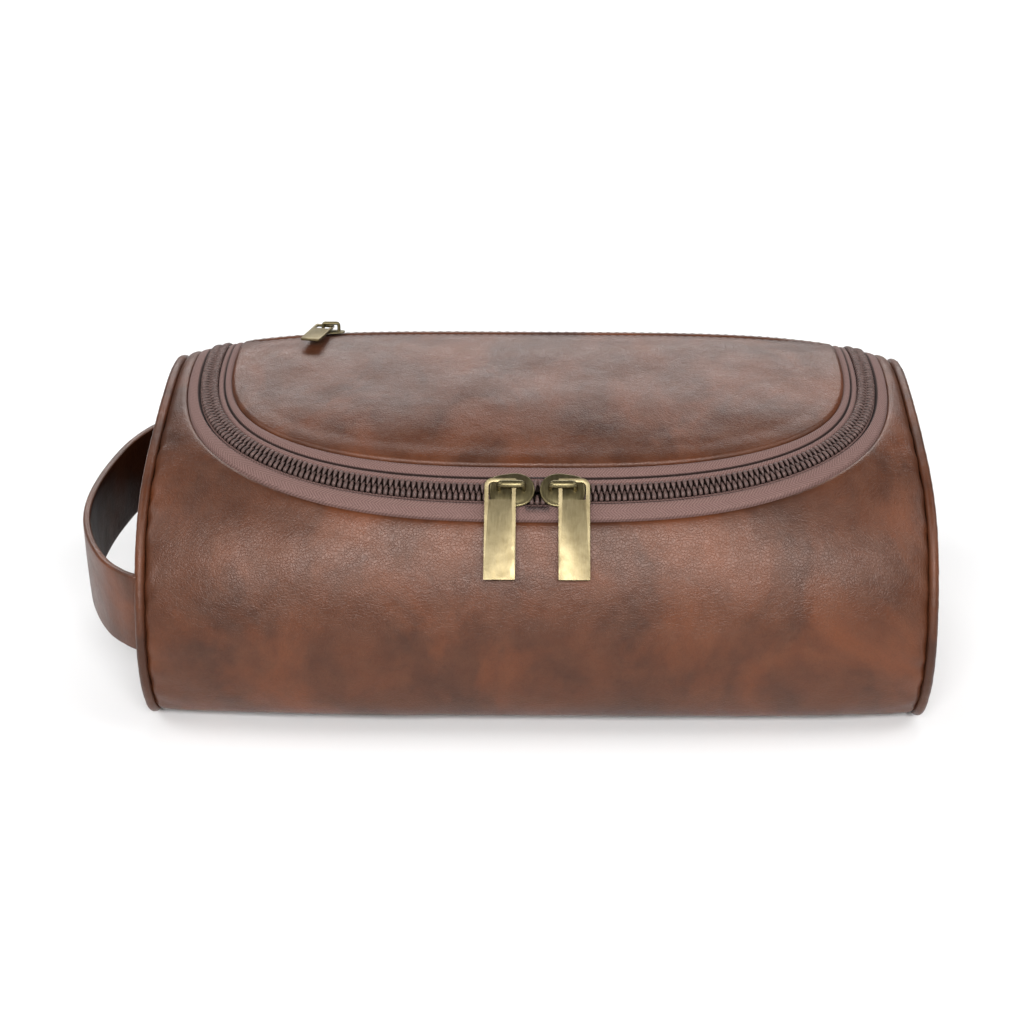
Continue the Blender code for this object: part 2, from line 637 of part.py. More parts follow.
def make_pocket_zipper():
    low, high = POCKET_X
    for name, sign in (("front", -1), ("back", 1)):
        girths = sorted(POCKET_GIRTH + sign * away for away in (POCKET_COIL_INNER, POCKET_GAP / 2 - GAP))
        coil = strip_sheet(low, high, *girths, -POCKET_COIL_DEPTH, 24, 1)
        shell("pocket_coil_" + name, coil, POCKET_COIL_THICK, COIL)
        girths = sorted(POCKET_GIRTH + sign * away for away in (POCKET_TAPE_INNER, POCKET_TAPE_OUTER))
        ends = (low - POCKET_TAPE_EXTRA, high + POCKET_TAPE_EXTRA)
        tape = strip_sheet(*ends, *girths, -POCKET_TAPE_DEPTH, 24, 1)
        shell("pocket_tape_" + name, tape, POCKET_TAPE_THICK, TAPE)
    girths = (POCKET_GIRTH - STOP_HALF_GIRTH, POCKET_GIRTH + STOP_HALF_GIRTH)
    for name, x in (("left", low - STOP_AWAY), ("right", high + STOP_AWAY)):
        stop = strip_sheet(x - STOP_HALF_X, x + STOP_HALF_X, *girths, -POCKET_COIL_DEPTH, 1, 1)
        shell("pocket_stop_" + name, stop, POCKET_COIL_THICK, BRASS)


def pocket_slider_frame():
    x = POCKET_SLIDER_X
    here = Vector(skin(np.array(x), np.array(POCKET_GIRTH), np.array(0.0)))
    along = Vector((1.0, 0.0, 0.0))
    up = Vector(normal_at(np.array(x), to_t(POCKET_GIRTH)))
    up = (up - along * up.dot(along)).normalized()
    return frame_matrix(here + up * POCKET_LIFT, along, along.cross(up), up)


def make_pocket_slider():
    matrix = pocket_slider_frame()
    slider = make_slider("pocket_slider", matrix, POCKET_SCALE, with_post=False)
    foot = (-ARCH_INNER * POCKET_SCALE, 0, PULL_HEIGHT * POCKET_SCALE)
    turned = matrix @ Matrix.Scale(-1, 4, (1, 0, 0))
    pull_matrix = pull_frame(turned, POCKET_PULL_TILT, foot) @ Matrix.Rotation(POCKET_PULL_TURN, 4, "Z")
    pull = make_pull("pocket_pull", pull_matrix, PULL_LENGTH * POCKET_PULL_SHARE, POCKET_SCALE)
    joint_parent("pocket_slider_axis", matrix, [slider])
    joint_parent("pocket_pull_axis", pull_matrix, [pull])


# ---------------------------------------------------------------- wrist strap
def smooth_route(points, steps):
    """A Catmull-Rom curve through the points, with steps stretches between neighbours."""
    points = [Vector((x, y, 0)) for x, y in points]
    padded = [2 * points[0] - points[1], *points, 2 * points[-1] - points[-2]]
    route = []
    for a, b, c, d in zip(padded, padded[1:], padded[2:], padded[3:]):
        for k in range(steps):
            f = k / steps
            bend = (2 * a - 5 * b + 4 * c - d) * f**2 + (3 * b - a - 3 * c + d) * f**3
            route.append(b + 0.5 * ((c - a) * f + bend))
    return route + [points[-1]]


def make_strap():
    """The strap's loop, narrowed to a point at its two sewn ends so that it can swing."""
    route = smooth_route(STRAP_ROUTE, 4)
    root_x = -SEAM_X - PIPE_RADIUS - GAP
    rows = []
    for point in route:
        away = max(0.0, root_x - point.x)
        full = min(1.0, STRAP_ROOT_SHARE + away / STRAP_TAPER)
        half = STRAP_WIDTH / 2 * full
        rows.append([(point.x, point.y, STRAP_MIDDLE_Z + half * k) for k in (-1, 0, 1)])
    obj = to_object("wrist_strap", grid_mesh("wrist_strap", [rows]), LEATHER)
    thicken = obj.modifiers.new("thickness", "SOLIDIFY")
    thicken.thickness = STRAP_THICK
    thicken.offset = 0
    joint_parent("strap_axis", Matrix.Translation((root_x, 0, STRAP_MIDDLE_Z)), [obj])


def make_hinge():
    place = Vector(skin(np.array(0.0), np.array(HINGE_GIRTH), np.array(0.0)))
    names = ["lid_panel", "lid_back_strip", "lid_lining", "lid_pocket_sheet", "zip_tape_lid"]
    names += ["zip_coil_lid_left", "zip_coil_lid_right", "pocket_coil_front", "pocket_coil_back"]
    names += ["pocket_tape_front", "pocket_tape_back", "pocket_stop_left", "pocket_stop_right"]
    joint_parent("lid_axis", Matrix.Translation(place), [bpy.data.objects[name] for name in names])


make_body()
make_ends()
make_lid()
make_main_zipper()
make_sliders()
make_pocket_zipper()
make_pocket_slider()
make_strap()
make_hinge()
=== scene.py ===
"""The looks of the leather shaving kit bag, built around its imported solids.

Metres, +Z up. The origin is the middle of the flat base, the front faces -Y and the strap is at -X.
Places on the bag are given as x and girth: girth is the distance round the middle outline, from the
base's middle, forwards, up over the lid and down the back."""

import math

import bmesh
import bpy
import numpy as np
from mathutils import Matrix, Vector, noise


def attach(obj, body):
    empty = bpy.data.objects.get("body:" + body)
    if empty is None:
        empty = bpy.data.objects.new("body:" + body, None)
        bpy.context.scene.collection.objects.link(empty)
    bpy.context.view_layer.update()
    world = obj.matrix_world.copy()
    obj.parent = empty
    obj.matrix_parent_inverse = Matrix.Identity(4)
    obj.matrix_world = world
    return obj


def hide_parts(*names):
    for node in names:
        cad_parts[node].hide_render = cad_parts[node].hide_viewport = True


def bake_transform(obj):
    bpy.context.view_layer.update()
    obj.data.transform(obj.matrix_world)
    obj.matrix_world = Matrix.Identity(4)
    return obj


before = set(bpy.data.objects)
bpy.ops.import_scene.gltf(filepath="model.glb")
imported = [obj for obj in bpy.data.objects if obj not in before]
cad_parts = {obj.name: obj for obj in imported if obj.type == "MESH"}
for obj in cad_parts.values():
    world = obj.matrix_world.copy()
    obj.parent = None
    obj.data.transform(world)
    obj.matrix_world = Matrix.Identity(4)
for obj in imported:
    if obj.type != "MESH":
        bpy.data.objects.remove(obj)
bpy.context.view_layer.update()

MM = 0.001

# ---------------------------------------------------------------- driving dimensions, as in the solids
SEAM_X = 0.130
BASE_DEPTH_MIDDLE = 0.064
END_OUTLINE = (
    (64, 0), (38, 0), (8, 0), (-1, 13), (-6.5, 34), (11, 73), (40, 84.5),
    (72, 91), (102, 95), (127, 82), (130, 40), (128, 6), (112, 0), (88, 0),
)
MIDDLE_OUTLINE = (
    (64, 0), (36, 0), (10, 0), (-9, 11), (-9.5, 44), (9, 80), (40, 94.5),
    (70, 98), (109, 103), (134, 90), (138, 42), (134, 7), (114, 0), (90, 0),
)
BULGE_POWER, BULGE_EASE = 4.0, 0.8
ZIP_HALF_WIDTH, ZIP_REACH, ZIP_LEGS_FROM, ZIP_POWER = 0.116, 0.084, 0.235, 3.0
HINGE_GIRTH = 0.268
TAPE_REACH_SIDE, TAPE_REACH_FRONT = 0.0076, 0.0100
SLIDER_X = 0.0082
POCKET_GIRTH, POCKET_GAP = 0.2485, 0.0042
POCKET_X = (-0.098, 0.086)
POCKET_SLIDER_X, POCKET_SCALE, POCKET_LIFT = -0.076, 0.70, 0.0001
PIPE_RADIUS = 0.0017
STRAP_WIDTH, STRAP_MIDDLE_Z = 0.029, 0.0435
BAG_MIDDLE = (0.0, 0.0, 0.05)


# ---------------------------------------------------------------- the bag's surface
def spline_point(outline, t):
    """Points of a closed uniform cubic B-spline at parameters t, as (..., 2) in metres."""
    points = np.array(outline, float) * MM
    t = np.asarray(t, float)
    start = np.floor(t).astype(int)
    f = t - start
    weights = (
        (1 - f) ** 3 / 6,
        (3 * f**3 - 6 * f**2 + 4) / 6,
        (-3 * f**3 + 3 * f**2 + 3 * f + 1) / 6,
        f**3 / 6,
    )
    return sum(w[..., None] * points[(start - 1 + k) % len(points)] for k, w in enumerate(weights))


TURNS = len(MIDDLE_OUTLINE)
TABLE_T = np.linspace(0, TURNS, 2801)
TABLE_STEPS = np.linalg.norm(np.diff(spline_point(MIDDLE_OUTLINE, TABLE_T), axis=0), axis=1)
TABLE_GIRTH = np.concatenate([[0.0], np.cumsum(TABLE_STEPS)])
GIRTH = TABLE_GIRTH[-1]


def to_t(girth):
    return np.interp(np.mod(girth, GIRTH), TABLE_GIRTH, TABLE_T)


def surface_at(x, t):
    x, t = np.broadcast_arrays(np.asarray(x, float), np.asarray(t, float))
    share = np.clip(np.abs(x) / SEAM_X, 0, 1)
    bulge = (1 - share**BULGE_POWER) ** BULGE_EASE
    end, middle = spline_point(END_OUTLINE, t), spline_point(MIDDLE_OUTLINE, t)
    yz = end + (middle - end) * bulge[..., None]
    return np.stack([x, yz[..., 0] - BASE_DEPTH_MIDDLE, yz[..., 1]], -1)


def normal_at(x, t):
    x, t = np.broadcast_arrays(np.asarray(x, float), np.asarray(t, float))
    across = surface_at(x + 1e-4, t) - surface_at(x - 1e-4, t)
    along = surface_at(x, t + 1e-3) - surface_at(x, t - 1e-3)
    normal = np.cross(across, along)
    return normal / np.linalg.norm(normal, axis=-1, keepdims=True)


def skin(x, girth, height=0.0):
    """The point at x and this girth, raised off the surface by height."""
    t = to_t(girth)
    return surface_at(x, t) + normal_at(x, t) * np.asarray(height, float)[..., None]


def smooth(low, high, value):
    """Eases from 0 at low to 1 at high, and low may be the larger of the two."""
    f = np.clip((np.asarray(value, float) - low) / (high - low), 0, 1)
    return f * f * (3 - 2 * f)


def wander(points, size, seed):
    """Smooth noise from -1 to 1 at these points, with lumps of this size."""
    flat = np.asarray(points, float).reshape(-1, 2) / size
    values = [noise.noise(Vector((a, b, seed))) for a, b in flat]
    return np.array(values).reshape(np.asarray(points).shape[:-1])


# ---------------------------------------------------------------- the zipper's line in x and girth
def resampled(points, count):
    points = np.asarray(points, float)
    steps = np.linalg.norm(np.diff(points, axis=0), axis=1)
    length = np.concatenate([[0.0], np.cumsum(steps)])
    places = np.linspace(0, length[-1], count)
    return np.stack([np.interp(places, length, points[:, k]) for k in range(points.shape[1])], 1)


def zip_line(leg_end, count):
    """The chain's middle, evenly spaced from the left leg's end round to the right one's."""
    angle = np.linspace(0, math.pi / 2, 400)
    x = ZIP_HALF_WIDTH * np.cos(angle) ** (2 / ZIP_POWER)
    girth = ZIP_LEGS_FROM - ZIP_REACH * np.sin(angle) ** (2 / ZIP_POWER)
    half = np.vstack([[ZIP_HALF_WIDTH, leg_end], np.stack([x, girth], 1)])
    return resampled(np.vstack([half * (-1, 1), half[::-1][1:]]), count)


def outward(line):
    along = np.gradient(line, axis=0)
    along /= np.linalg.norm(along, axis=1, keepdims=True)
    return np.stack([along[:, 1], -along[:, 0]], 1)


def leather_reach(line):
    share = np.clip(np.abs(line[:, 0]) / ZIP_HALF_WIDTH, 0, 1)
    return TAPE_REACH_SIDE + (TAPE_REACH_FRONT - TAPE_REACH_SIDE) * (1 - share**6)


def offset_line(line, reach):
    return line + outward(line) * np.broadcast_to(reach, len(line))[:, None]


def distance_to(points, line):
    """The distance from each point to a line of points, all in x and girth."""
    flat = np.asarray(points).reshape(-1, 2)
    a, along = line[:-1], np.diff(line, axis=0)
    best = np.full(len(flat), 1.0)
    for start, step in zip(a, along):
        f = np.clip((flat - start) @ step / max(step @ step, 1e-16), 0, 1)
        best = np.minimum(best, np.linalg.norm(flat - start - f[:, None] * step, axis=1))
    return best.reshape(np.asarray(points).shape[:-1])


def clustered(count, end_share=0.35):
    """Shares from 0 to 1, closer together near both ends."""
    u = np.linspace(0, 1, count + 1)
    return u - end_share * np.sin(2 * math.pi * u) / math.pi


# ---------------------------------------------------------------- meshes
def finished(name, made, smooth_faces=True):
    """The object that a bmesh makes."""
    mesh = bpy.data.meshes.new(name)
    made.to_mesh(mesh)
    made.free()
    if smooth_faces:
        mesh.shade_smooth()
    obj = bpy.data.objects.new(name, mesh)
    bpy.context.scene.collection.objects.link(obj)
    return obj


def add_grid(made, points, uv):
    """Faces over a grid of points, with a UV in metres for each, and the rows of vertices."""
    layer = made.loops.layers.uv.verify()
    rows = [[made.verts.new(point) for point in row] for row in points]
    for i in range(len(rows) - 1):
        for j in range(len(rows[0]) - 1):
            places = ((i, j), (i, j + 1), (i + 1, j + 1), (i + 1, j))
            face = made.faces.new([rows[a][b] for a, b in places])
            for loop, (a, b) in zip(face.loops, places):
                loop[layer].uv = uv[a][b]
    return rows


def add_rings(made, rings):
    """A closed solid through rings of points, with its two ends filled."""
    rows = [[made.verts.new(point) for point in ring] for ring in rings]
    for low, high in zip(rows, rows[1:]):
        for k in range(len(low)):
            made.faces.new((low[k - 1], low[k], high[k], high[k - 1]))
    made.faces.new(rows[0])
    made.faces.new(rows[-1])


def grid_object(name, blocks):
    """One mesh from blocks of (points, uv) grids, facing away from the bag's middle."""
    made = bmesh.new()
    for points, uv in blocks:
        add_grid(made, points, uv)
    bmesh.ops.remove_doubles(made, verts=made.verts[:], dist=2e-6)
    bmesh.ops.recalc_face_normals(made, faces=made.faces[:])
    centre = Vector(BAG_MIDDLE)
    if sum((f.calc_center_median() - centre).dot(f.normal) * f.calc_area() for f in made.faces) < 0:
        bmesh.ops.reverse_faces(made, faces=made.faces[:])
    return finished(name, made)


def sheet_object(name, planes, height):
    """A sheet on the bag's surface, from grids of (x, girth) and a height for each point."""
    return grid_object(name, [(skin(p[..., 0], p[..., 1], height(p)), p) for p in planes])


def tube(name, path, sections, closed=False):
    """A tube through the path. sections gives each place's cross-section as (n, 2) offsets along the
    path's own side and up directions, and path is a list of (point, side, up)."""
    rings, uv, run, last = [], [], 0.0, None
    for (point, side, up), section in zip(path, sections):
        point, side, up = (np.asarray(v, float) for v in (point, side, up))
        run += 0.0 if last is None else float(np.linalg.norm(point - last))
        last = point
        ring = [point + side * a + up * b for a, b in section]
        around = np.linalg.norm(np.diff(np.array([*section, section[0]], float), axis=0), axis=1)
        rings.append(ring + [ring[0]])
        uv.append([(run, turn) for turn in np.concatenate([[0.0], np.cumsum(around)])])
    if closed:
        run += float(np.linalg.norm(np.asarray(path[0][0]) - last))
        rings.append(rings[0])
        uv.append([(run, turn) for _, turn in uv[0]])
    made = bmesh.new()
    rows = add_grid(made, rings, uv)
    if not closed:
        made.faces.new(rows[0][:-1])
        made.faces.new(rows[-1][:-1])
    bmesh.ops.remove_doubles(made, verts=made.verts[:], dist=1e-7)
    bmesh.ops.recalc_face_normals(made, faces=made.faces[:])
    return finished(name, made)


def ellipse(half_side, half_up, count=12):
    angles = [2 * math.pi * k / count for k in range(count)]
    return [(half_side * math.cos(a), half_up * math.sin(a)) for a in angles]


# ---------------------------------------------------------------- materials
class Graph:
    """Short calls for building a material's nodes."""

    def __init__(self, name):
        self.material = bpy.data.materials.new(name)
        self.material.use_nodes = True
        self.tree = self.material.node_tree
        self.shader = self.tree.nodes["Principled BSDF"]
        self.coords = self.add("ShaderNodeTexCoord")

    def add(self, kind, inputs=None, **settings):
        node = self.tree.nodes.new(kind)
        for key, value in settings.items():
            setattr(node, key, value)
        for key, value in (inputs or {}).items():
            self.feed(node.inputs[key], value)
        return node

    def feed(self, socket, value):
        if isinstance(value, bpy.types.NodeSocket):
            self.tree.links.new(value, socket)
        elif value is not None:
            socket.default_value = value

    def place(self, source="UV", scale=(1.0, 1.0, 1.0)):
        """The surface's own coordinates, times a scale for each axis."""
        mapping = self.add("ShaderNodeMapping", {"Vector": self.coords.outputs[source], "Scale": scale})
        return mapping.outputs["Vector"]

    def noise(self, vector, scale, detail=3.0, rough=0.5, twist=0.0, output="Fac"):
        values = {"Vector": vector, "Scale": scale, "Detail": detail}
        values |= {"Roughness": rough, "Distortion": twist}
        return self.add("ShaderNodeTexNoise", values).outputs[output]

    def cells(self, vector, scale, feature="F1"):
        values = {"Vector": vector, "Scale": scale}
        return self.add("ShaderNodeTexVoronoi", values, feature=feature).outputs["Distance"]

    def math(self, operation, a, b=None):
        return self.add("ShaderNodeMath", {0: a, 1: b}, operation=operation).outputs[0]

    def waves(self, value, pitch):
        return self.math("SINE", self.math("MULTIPLY", value, 2 * math.pi / pitch))

    def shift(self, operation, a, b):
        return self.add("ShaderNodeVectorMath", {0: a, 1: b}, operation=operation).outputs[0]

    def span(self, value, low, high, to_low=0.0, to_high=1.0):
        values = {"Value": value, "From Min": low, "From Max": high, "To Min": to_low, "To Max": to_high}
        return self.add("ShaderNodeMapRange", values).outputs["Result"]

    def mix(self, share, a, b, blend="MIX"):
        a, b = ((*c, 1.0) if isinstance(c, tuple) else c for c in (a, b))
        node = self.add("ShaderNodeMix", data_type="RGBA", blend_type=blend)
        for index, value in ((0, share), (6, a), (7, b)):
            self.feed(node.inputs[index], value)
        return node.outputs[2]

    def bump(self, height, strength, distance, normal=None):
        values = {"Height": height, "Strength": strength, "Distance": distance, "Normal": normal}
        return self.add("ShaderNodeBump", values).outputs["Normal"]

    def split(self, vector):
        return self.add("ShaderNodeSeparateXYZ", {0: vector}).outputs

    def noise_warp(self, vector, scale, amount):
        """The coordinates, pushed about by noise so that cells lose their straight sides."""
        push = self.shift("SUBTRACT", self.noise(vector, scale, 2.0, output="Color"), (0.5, 0.5, 0.5))
        return self.shift("ADD", vector, self.shift("MULTIPLY", push, (amount * 2,) * 3))

    def grey(self, value):
        return self.add("ShaderNodeCombineColor", {0: value, 1: value, 2: value}).outputs[0]

    def finish(self, **inputs):
        for key, value in inputs.items():
            value = (*value, 1.0) if isinstance(value, tuple) and len(value) == 3 else value
            self.feed(self.shader.inputs[key.replace("_", " ")], value)
        return self.material


LEATHER_DARK, LEATHER_MID = (0.040, 0.013, 0.006), (0.086, 0.026, 0.010)
LEATHER_RED, LEATHER_TAN = (0.148, 0.041, 0.013), (0.110, 0.045, 0.023)
SHEEN = (1.0, 0.81, 0.74)  # the finish's warm reflection
HERRINGBONE, RIB_PITCH, THREAD_PITCH, CLOTH_PITCH = 0.0021, 0.00105, 0.00052, 0.00065


def leather(name, seed=0.0, shade=1.0, gloss=0.48):
    """Mottled brown leather: cloudy light and dark patches, fine pebble grain and short creases, with
    painted shade in the creases.
    """
    g = Graph(name)
    place = g.shift("ADD", g.place(), (seed, seed * 1.7, seed))
    stretched = g.shift("MULTIPLY", place, (1.0, 0.75, 1.0))
    clouds = g.noise(stretched, 42.0, 4.0, 0.58, 0.35)
    patches = g.noise(stretched, 30.0, 4.0, 0.58, 0.5)
    smudges = g.noise(place, 120.0, 3.0, 0.6)
    grain = g.cells(place, 1900.0)
    crease = g.cells(g.noise_warp(place, 260.0, 0.0012), 1020.0, "DISTANCE_TO_EDGE")
    colour = g.mix(g.span(clouds, 0.36, 0.68), LEATHER_MID, LEATHER_DARK)
    colour = g.mix(g.span(patches, 0.48, 0.72, 0.0, 0.85), colour, LEATHER_RED)
    colour = g.mix(g.math("MULTIPLY", g.span(smudges, 0.42, 0.75), 0.28), colour, LEATHER_TAN)
    # painted shade: the colour falls to 0.84 along the creases
    crease_shade = g.span(crease, 0.0, 0.10, 0.84, 1.0)
    colour = g.mix(1.0, colour, g.grey(crease_shade), "MULTIPLY")
    if shade != 1.0:
        colour = g.mix(1.0, colour, (shade, shade, shade), "MULTIPLY")
    height = g.math("ADD", g.span(crease, 0.0, 0.16), g.math("MULTIPLY", g.span(grain, 0.0, 0.6), -0.5))
    waves = g.bump(g.noise(place, 150.0, 4.0, 0.55), 0.25, 0.0009)
    normal = g.bump(height, 0.36, 0.00009, waves)
    rough = g.math("ADD", g.span(smudges, 0.3, 0.7, 0.35, 0.43), g.span(crease, 0.0, 0.1, 0.06, 0.0))
    gloss = {"Specular_IOR_Level": gloss, "Specular_Tint": SHEEN}
    return g.finish(Base_Color=colour, Roughness=rough, Normal=normal, **gloss)


def woven_tape(name, groove):
    """Herringbone zipper tape: slanting ribs that change direction across the tape, and painted shade along
    the groove.
    """
    g = Graph(name)
    u, v, _ = g.split(g.place())
    fold = g.math("PINGPONG", g.math("ADD", v, 0.0500), HERRINGBONE)
    ribs = g.waves(g.math("ADD", u, fold), RIB_PITCH)
    threads = g.waves(v, THREAD_PITCH)
    weave = g.math("ADD", g.span(ribs, -1, 1), g.math("MULTIPLY", g.span(threads, -1, 1), 0.35))
    fuzz = g.noise(g.place(), 2400.0, 2.0)
    colour = g.mix(g.span(weave, 0.2, 1.2), (0.110, 0.060, 0.052), (0.205, 0.120, 0.106))
    colour = g.mix(g.span(fuzz, 0.35, 0.75, 0.0, 0.35), colour, (0.25, 0.16, 0.145))
    # painted shade: the colour goes near-black within about half a millimetre of the groove
    beside = g.math("ABSOLUTE", g.math("SUBTRACT", v, groove))
    colour = g.mix(g.span(beside, 0.0002, 0.00055), (0.022, 0.011, 0.009), colour)
    normal = g.bump(weave, 0.5, 0.00016, g.bump(fuzz, 0.3, 0.0001))
    gloss = {"Sheen_Weight": 0.06, "Specular_IOR_Level": 0.2}
    return g.finish(Base_Color=colour, Roughness=0.85, Normal=normal, **gloss)


def nylon(name, colour, rough=0.45, gloss=0.35):
    g = Graph(name)
    streak = g.noise(g.place("Object"), 900.0, 2.0)
    dark, light = (tuple(share * c for c in colour) for share in (0.6, 1.3))
    tone = g.mix(g.span(streak, 0.3, 0.7), dark, light)
    normal = g.bump(streak, 0.2, 0.0001)
    return g.finish(Base_Color=tone, Roughness=rough, Normal=normal, Specular_IOR_Level=gloss)


def antique_brass(name, low, high, worn):
    """Darkened brass with worn, brighter places and fine brushing along the piece."""
    g = Graph(name)
    place = g.place("Object")
    stain = g.noise(place, 160.0, 4.0, 0.6, 0.4)
    brush = g.noise(g.place("Object", (2600.0, 260.0, 260.0)), 1.0, 3.0)
    colour = g.mix(g.span(stain, 0.35, 0.65), low, high)
    colour = g.mix(g.span(brush, 0.3, 0.7, 0.0, 0.35), colour, worn)
    rough = g.math("ADD", g.span(stain, 0.3, 0.7, 0.42, 0.33), g.span(brush, 0.3, 0.7, 0.0, 0.08))
    normal = g.bump(brush, 0.12, 0.00005, g.bump(stain, 0.15, 0.0003))
    return g.finish(Base_Color=colour, Metallic=1.0, Roughness=rough, Normal=normal)


def lining_cloth(name, low, high):
    """Plain woven lining with a faint diagonal, in two close tones."""
    g = Graph(name)
    u, v, _ = g.split(g.place())
    weave = g.math("MULTIPLY", g.waves(u, CLOTH_PITCH), g.waves(v, CLOTH_PITCH))
    cloud = g.noise(g.place(), 45.0, 4.0, 0.6)
    colour = g.mix(g.span(weave, -1, 1, 0.0, 0.6), low, high)
    colour = g.mix(g.span(cloud, 0.35, 0.7, 0.0, 0.5), colour, high)
    normal = g.bump(weave, 0.35, 0.0001, g.bump(cloud, 0.5, 0.0012))
    return g.finish(Base_Color=colour, Roughness=0.6, Normal=normal, Sheen_Weight=0.2)


def thread(name, colour):
    g = Graph(name)
    twist = g.noise(g.place("Object"), 2600.0, 2.0)
    tone = g.mix(g.span(twist, 0.3, 0.7), tuple(0.5 * c for c in colour), colour)
    return g.finish(Base_Color=tone, Roughness=0.6, Normal=g.bump(twist, 0.4, 0.0001))


LEATHER = leather("leather")
STRAP_LEATHER = leather("strap_leather", 3.1)
PIPING_LEATHER = leather("piping_leather", 5.3, 0.92)
TAPE = woven_tape("zip_tape", 0.0037)
LID_TAPE = woven_tape("lid_zip_tape", 0.0053)
COIL = nylon("zip_coil", (0.105, 0.064, 0.056))
# near-black nylon for the bands under the chain: painted shade of the gap beneath the teeth
GAP_SHADE = nylon("painted_gap_shade", (0.010, 0.006, 0.005), 0.9, 0.05)
BRASS = antique_brass("antique_brass", (0.145, 0.113, 0.056), (0.232, 0.189, 0.104), (0.28, 0.235, 0.146))
# lighter brass for the pulls' rounded edges, a painted highlight
EDGE_HIGHLIGHT_BRASS = antique_brass("brass_edge_highlight", (0.270, 0.228, 0.129), (0.400, 0.347, 0.220), (0.47, 0.42, 0.29))
DARK_BRASS = antique_brass("dark_brass", (0.095, 0.076, 0.036), (0.200, 0.165, 0.085), (0.25, 0.215, 0.12))
LINING = lining_cloth("lining_fabric", (0.030, 0.020, 0.015), (0.055, 0.038, 0.029))
BINDING = lining_cloth("binding_tape", (0.028, 0.017, 0.013), (0.060, 0.038, 0.030))
# the strap's inner face: the leather darkened to about a third, with little gloss, as painted shade of the
# loop's shadowed inside
STRAP_INNER_SHADE = leather("strap_inner_painted_shade", 2.2, 0.34, 0.06)
THREAD = thread("thread", (0.070, 0.034, 0.024))


def dress(obj, look, body, slot, *replaced):
    """Gives the piece its material, its body and the nodes that it stands for. The slot is not used."""
    obj.data.materials.clear()
    for material in look if isinstance(look, tuple) else (look,):
        obj.data.materials.append(material)
    if replaced:
        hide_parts(*replaced)
    if body:
        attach(obj, body)
    return obj


# ---------------------------------------------------------------- leather
EDGE_ROUND = 0.0011  # radius of a turned edge
EDGE_DROP = 0.0016
NEAR_EDGE = (0.0, 0.00012, 0.00035, 0.00065, 0.00105, 0.0016)  # where a grid has rows beside a turned edge
SEAM_TUCK = 0.0042  # where the wrap starts to turn in towards the piping
SEAM_EDGE_X = 0.1290
BAND_GIRTH = 0.095
LEG_X = ZIP_HALF_WIDTH + TAPE_REACH_SIDE
PUCKER_PITCH = 0.0122
CALM_X, CALM_GIRTH = (0.055, 0.075), (0.096, 0.110, 0.150, 0.162)  # where the main pulls travel


def turned_edge(distance):
    """The height of leather at this distance from its turned edge."""
    inside = np.clip(distance, 0, EDGE_ROUND)
    curve = np.sqrt(np.maximum(EDGE_ROUND**2 - (EDGE_ROUND - inside) ** 2, 0)) - EDGE_ROUND
    wall = np.where(distance < 2e-5, -EDGE_DROP + EDGE_ROUND, 0.0)
    swell = 0.00035 * smooth(0.0, 0.0016, distance) * (1 - smooth(0.0030, 0.0090, distance))
    return curve + wall + swell


def drape(plane, distance):
    """Slow unevenness of the soft leather, fading out near the zipper, the ends and the base."""
    x, girth = plane[..., 0], plane[..., 1]
    z = surface_at(x, to_t(girth))[..., 2]
    calm = smooth(0.003, 0.016, distance) * smooth(0.0, 0.018, z)
    ends = 1 - smooth(0.112, 0.127, np.abs(x))
    slow = 0.00075 * wander(plane, 0.030, 1.5) + 0.00030 * wander(plane, 0.013, 7.5)
    near_seam = np.exp(-np.maximum(0.1275 - np.abs(x), 0) / 0.0075)
    phase = girth / PUCKER_PITCH * 2 * math.pi + 3.0 * wander(plane, 0.020, 4.0)
    pucker = 0.00032 * near_seam * np.sin(phase)
    under_pulls = smooth(*CALM_X[::-1], np.abs(x))
    under_pulls = under_pulls * smooth(*CALM_GIRTH[:2], girth) * smooth(*CALM_GIRTH[:1:-1], girth)
    slow = slow * (1 - 0.85 * under_pulls) - 0.0005 * under_pulls
    return calm * (slow * ends + pucker)


def body_edge(plane):
    """The distance to the wrap's turned edge: the zipper's U, and the hinge line between its legs."""
    line = zip_line(HINGE_GIRTH, 241)
    edge = offset_line(line, leather_reach(line))
    edge[0, 1] = edge[-1, 1] = HINGE_GIRTH
    beside = distance_to(plane, edge)
    behind = np.where(
        np.abs(plane[..., 0]) < LEG_X,
        np.abs(np.mod(plane[..., 1], GIRTH) - HINGE_GIRTH),
        np.hypot(np.mod(plane[..., 1], GIRTH) - HINGE_GIRTH, np.abs(plane[..., 0]) - LEG_X),
    )
    return np.minimum(beside, behind)


def wrap_height(plane):
    distance = body_edge(plane)
    tuck = np.maximum(np.abs(plane[..., 0]) - (SEAM_X - SEAM_TUCK), 0) / (SEAM_EDGE_X - SEAM_X + SEAM_TUCK)
    return turned_edge(distance) + drape(plane, distance) - 0.0017 * tuck**2.2


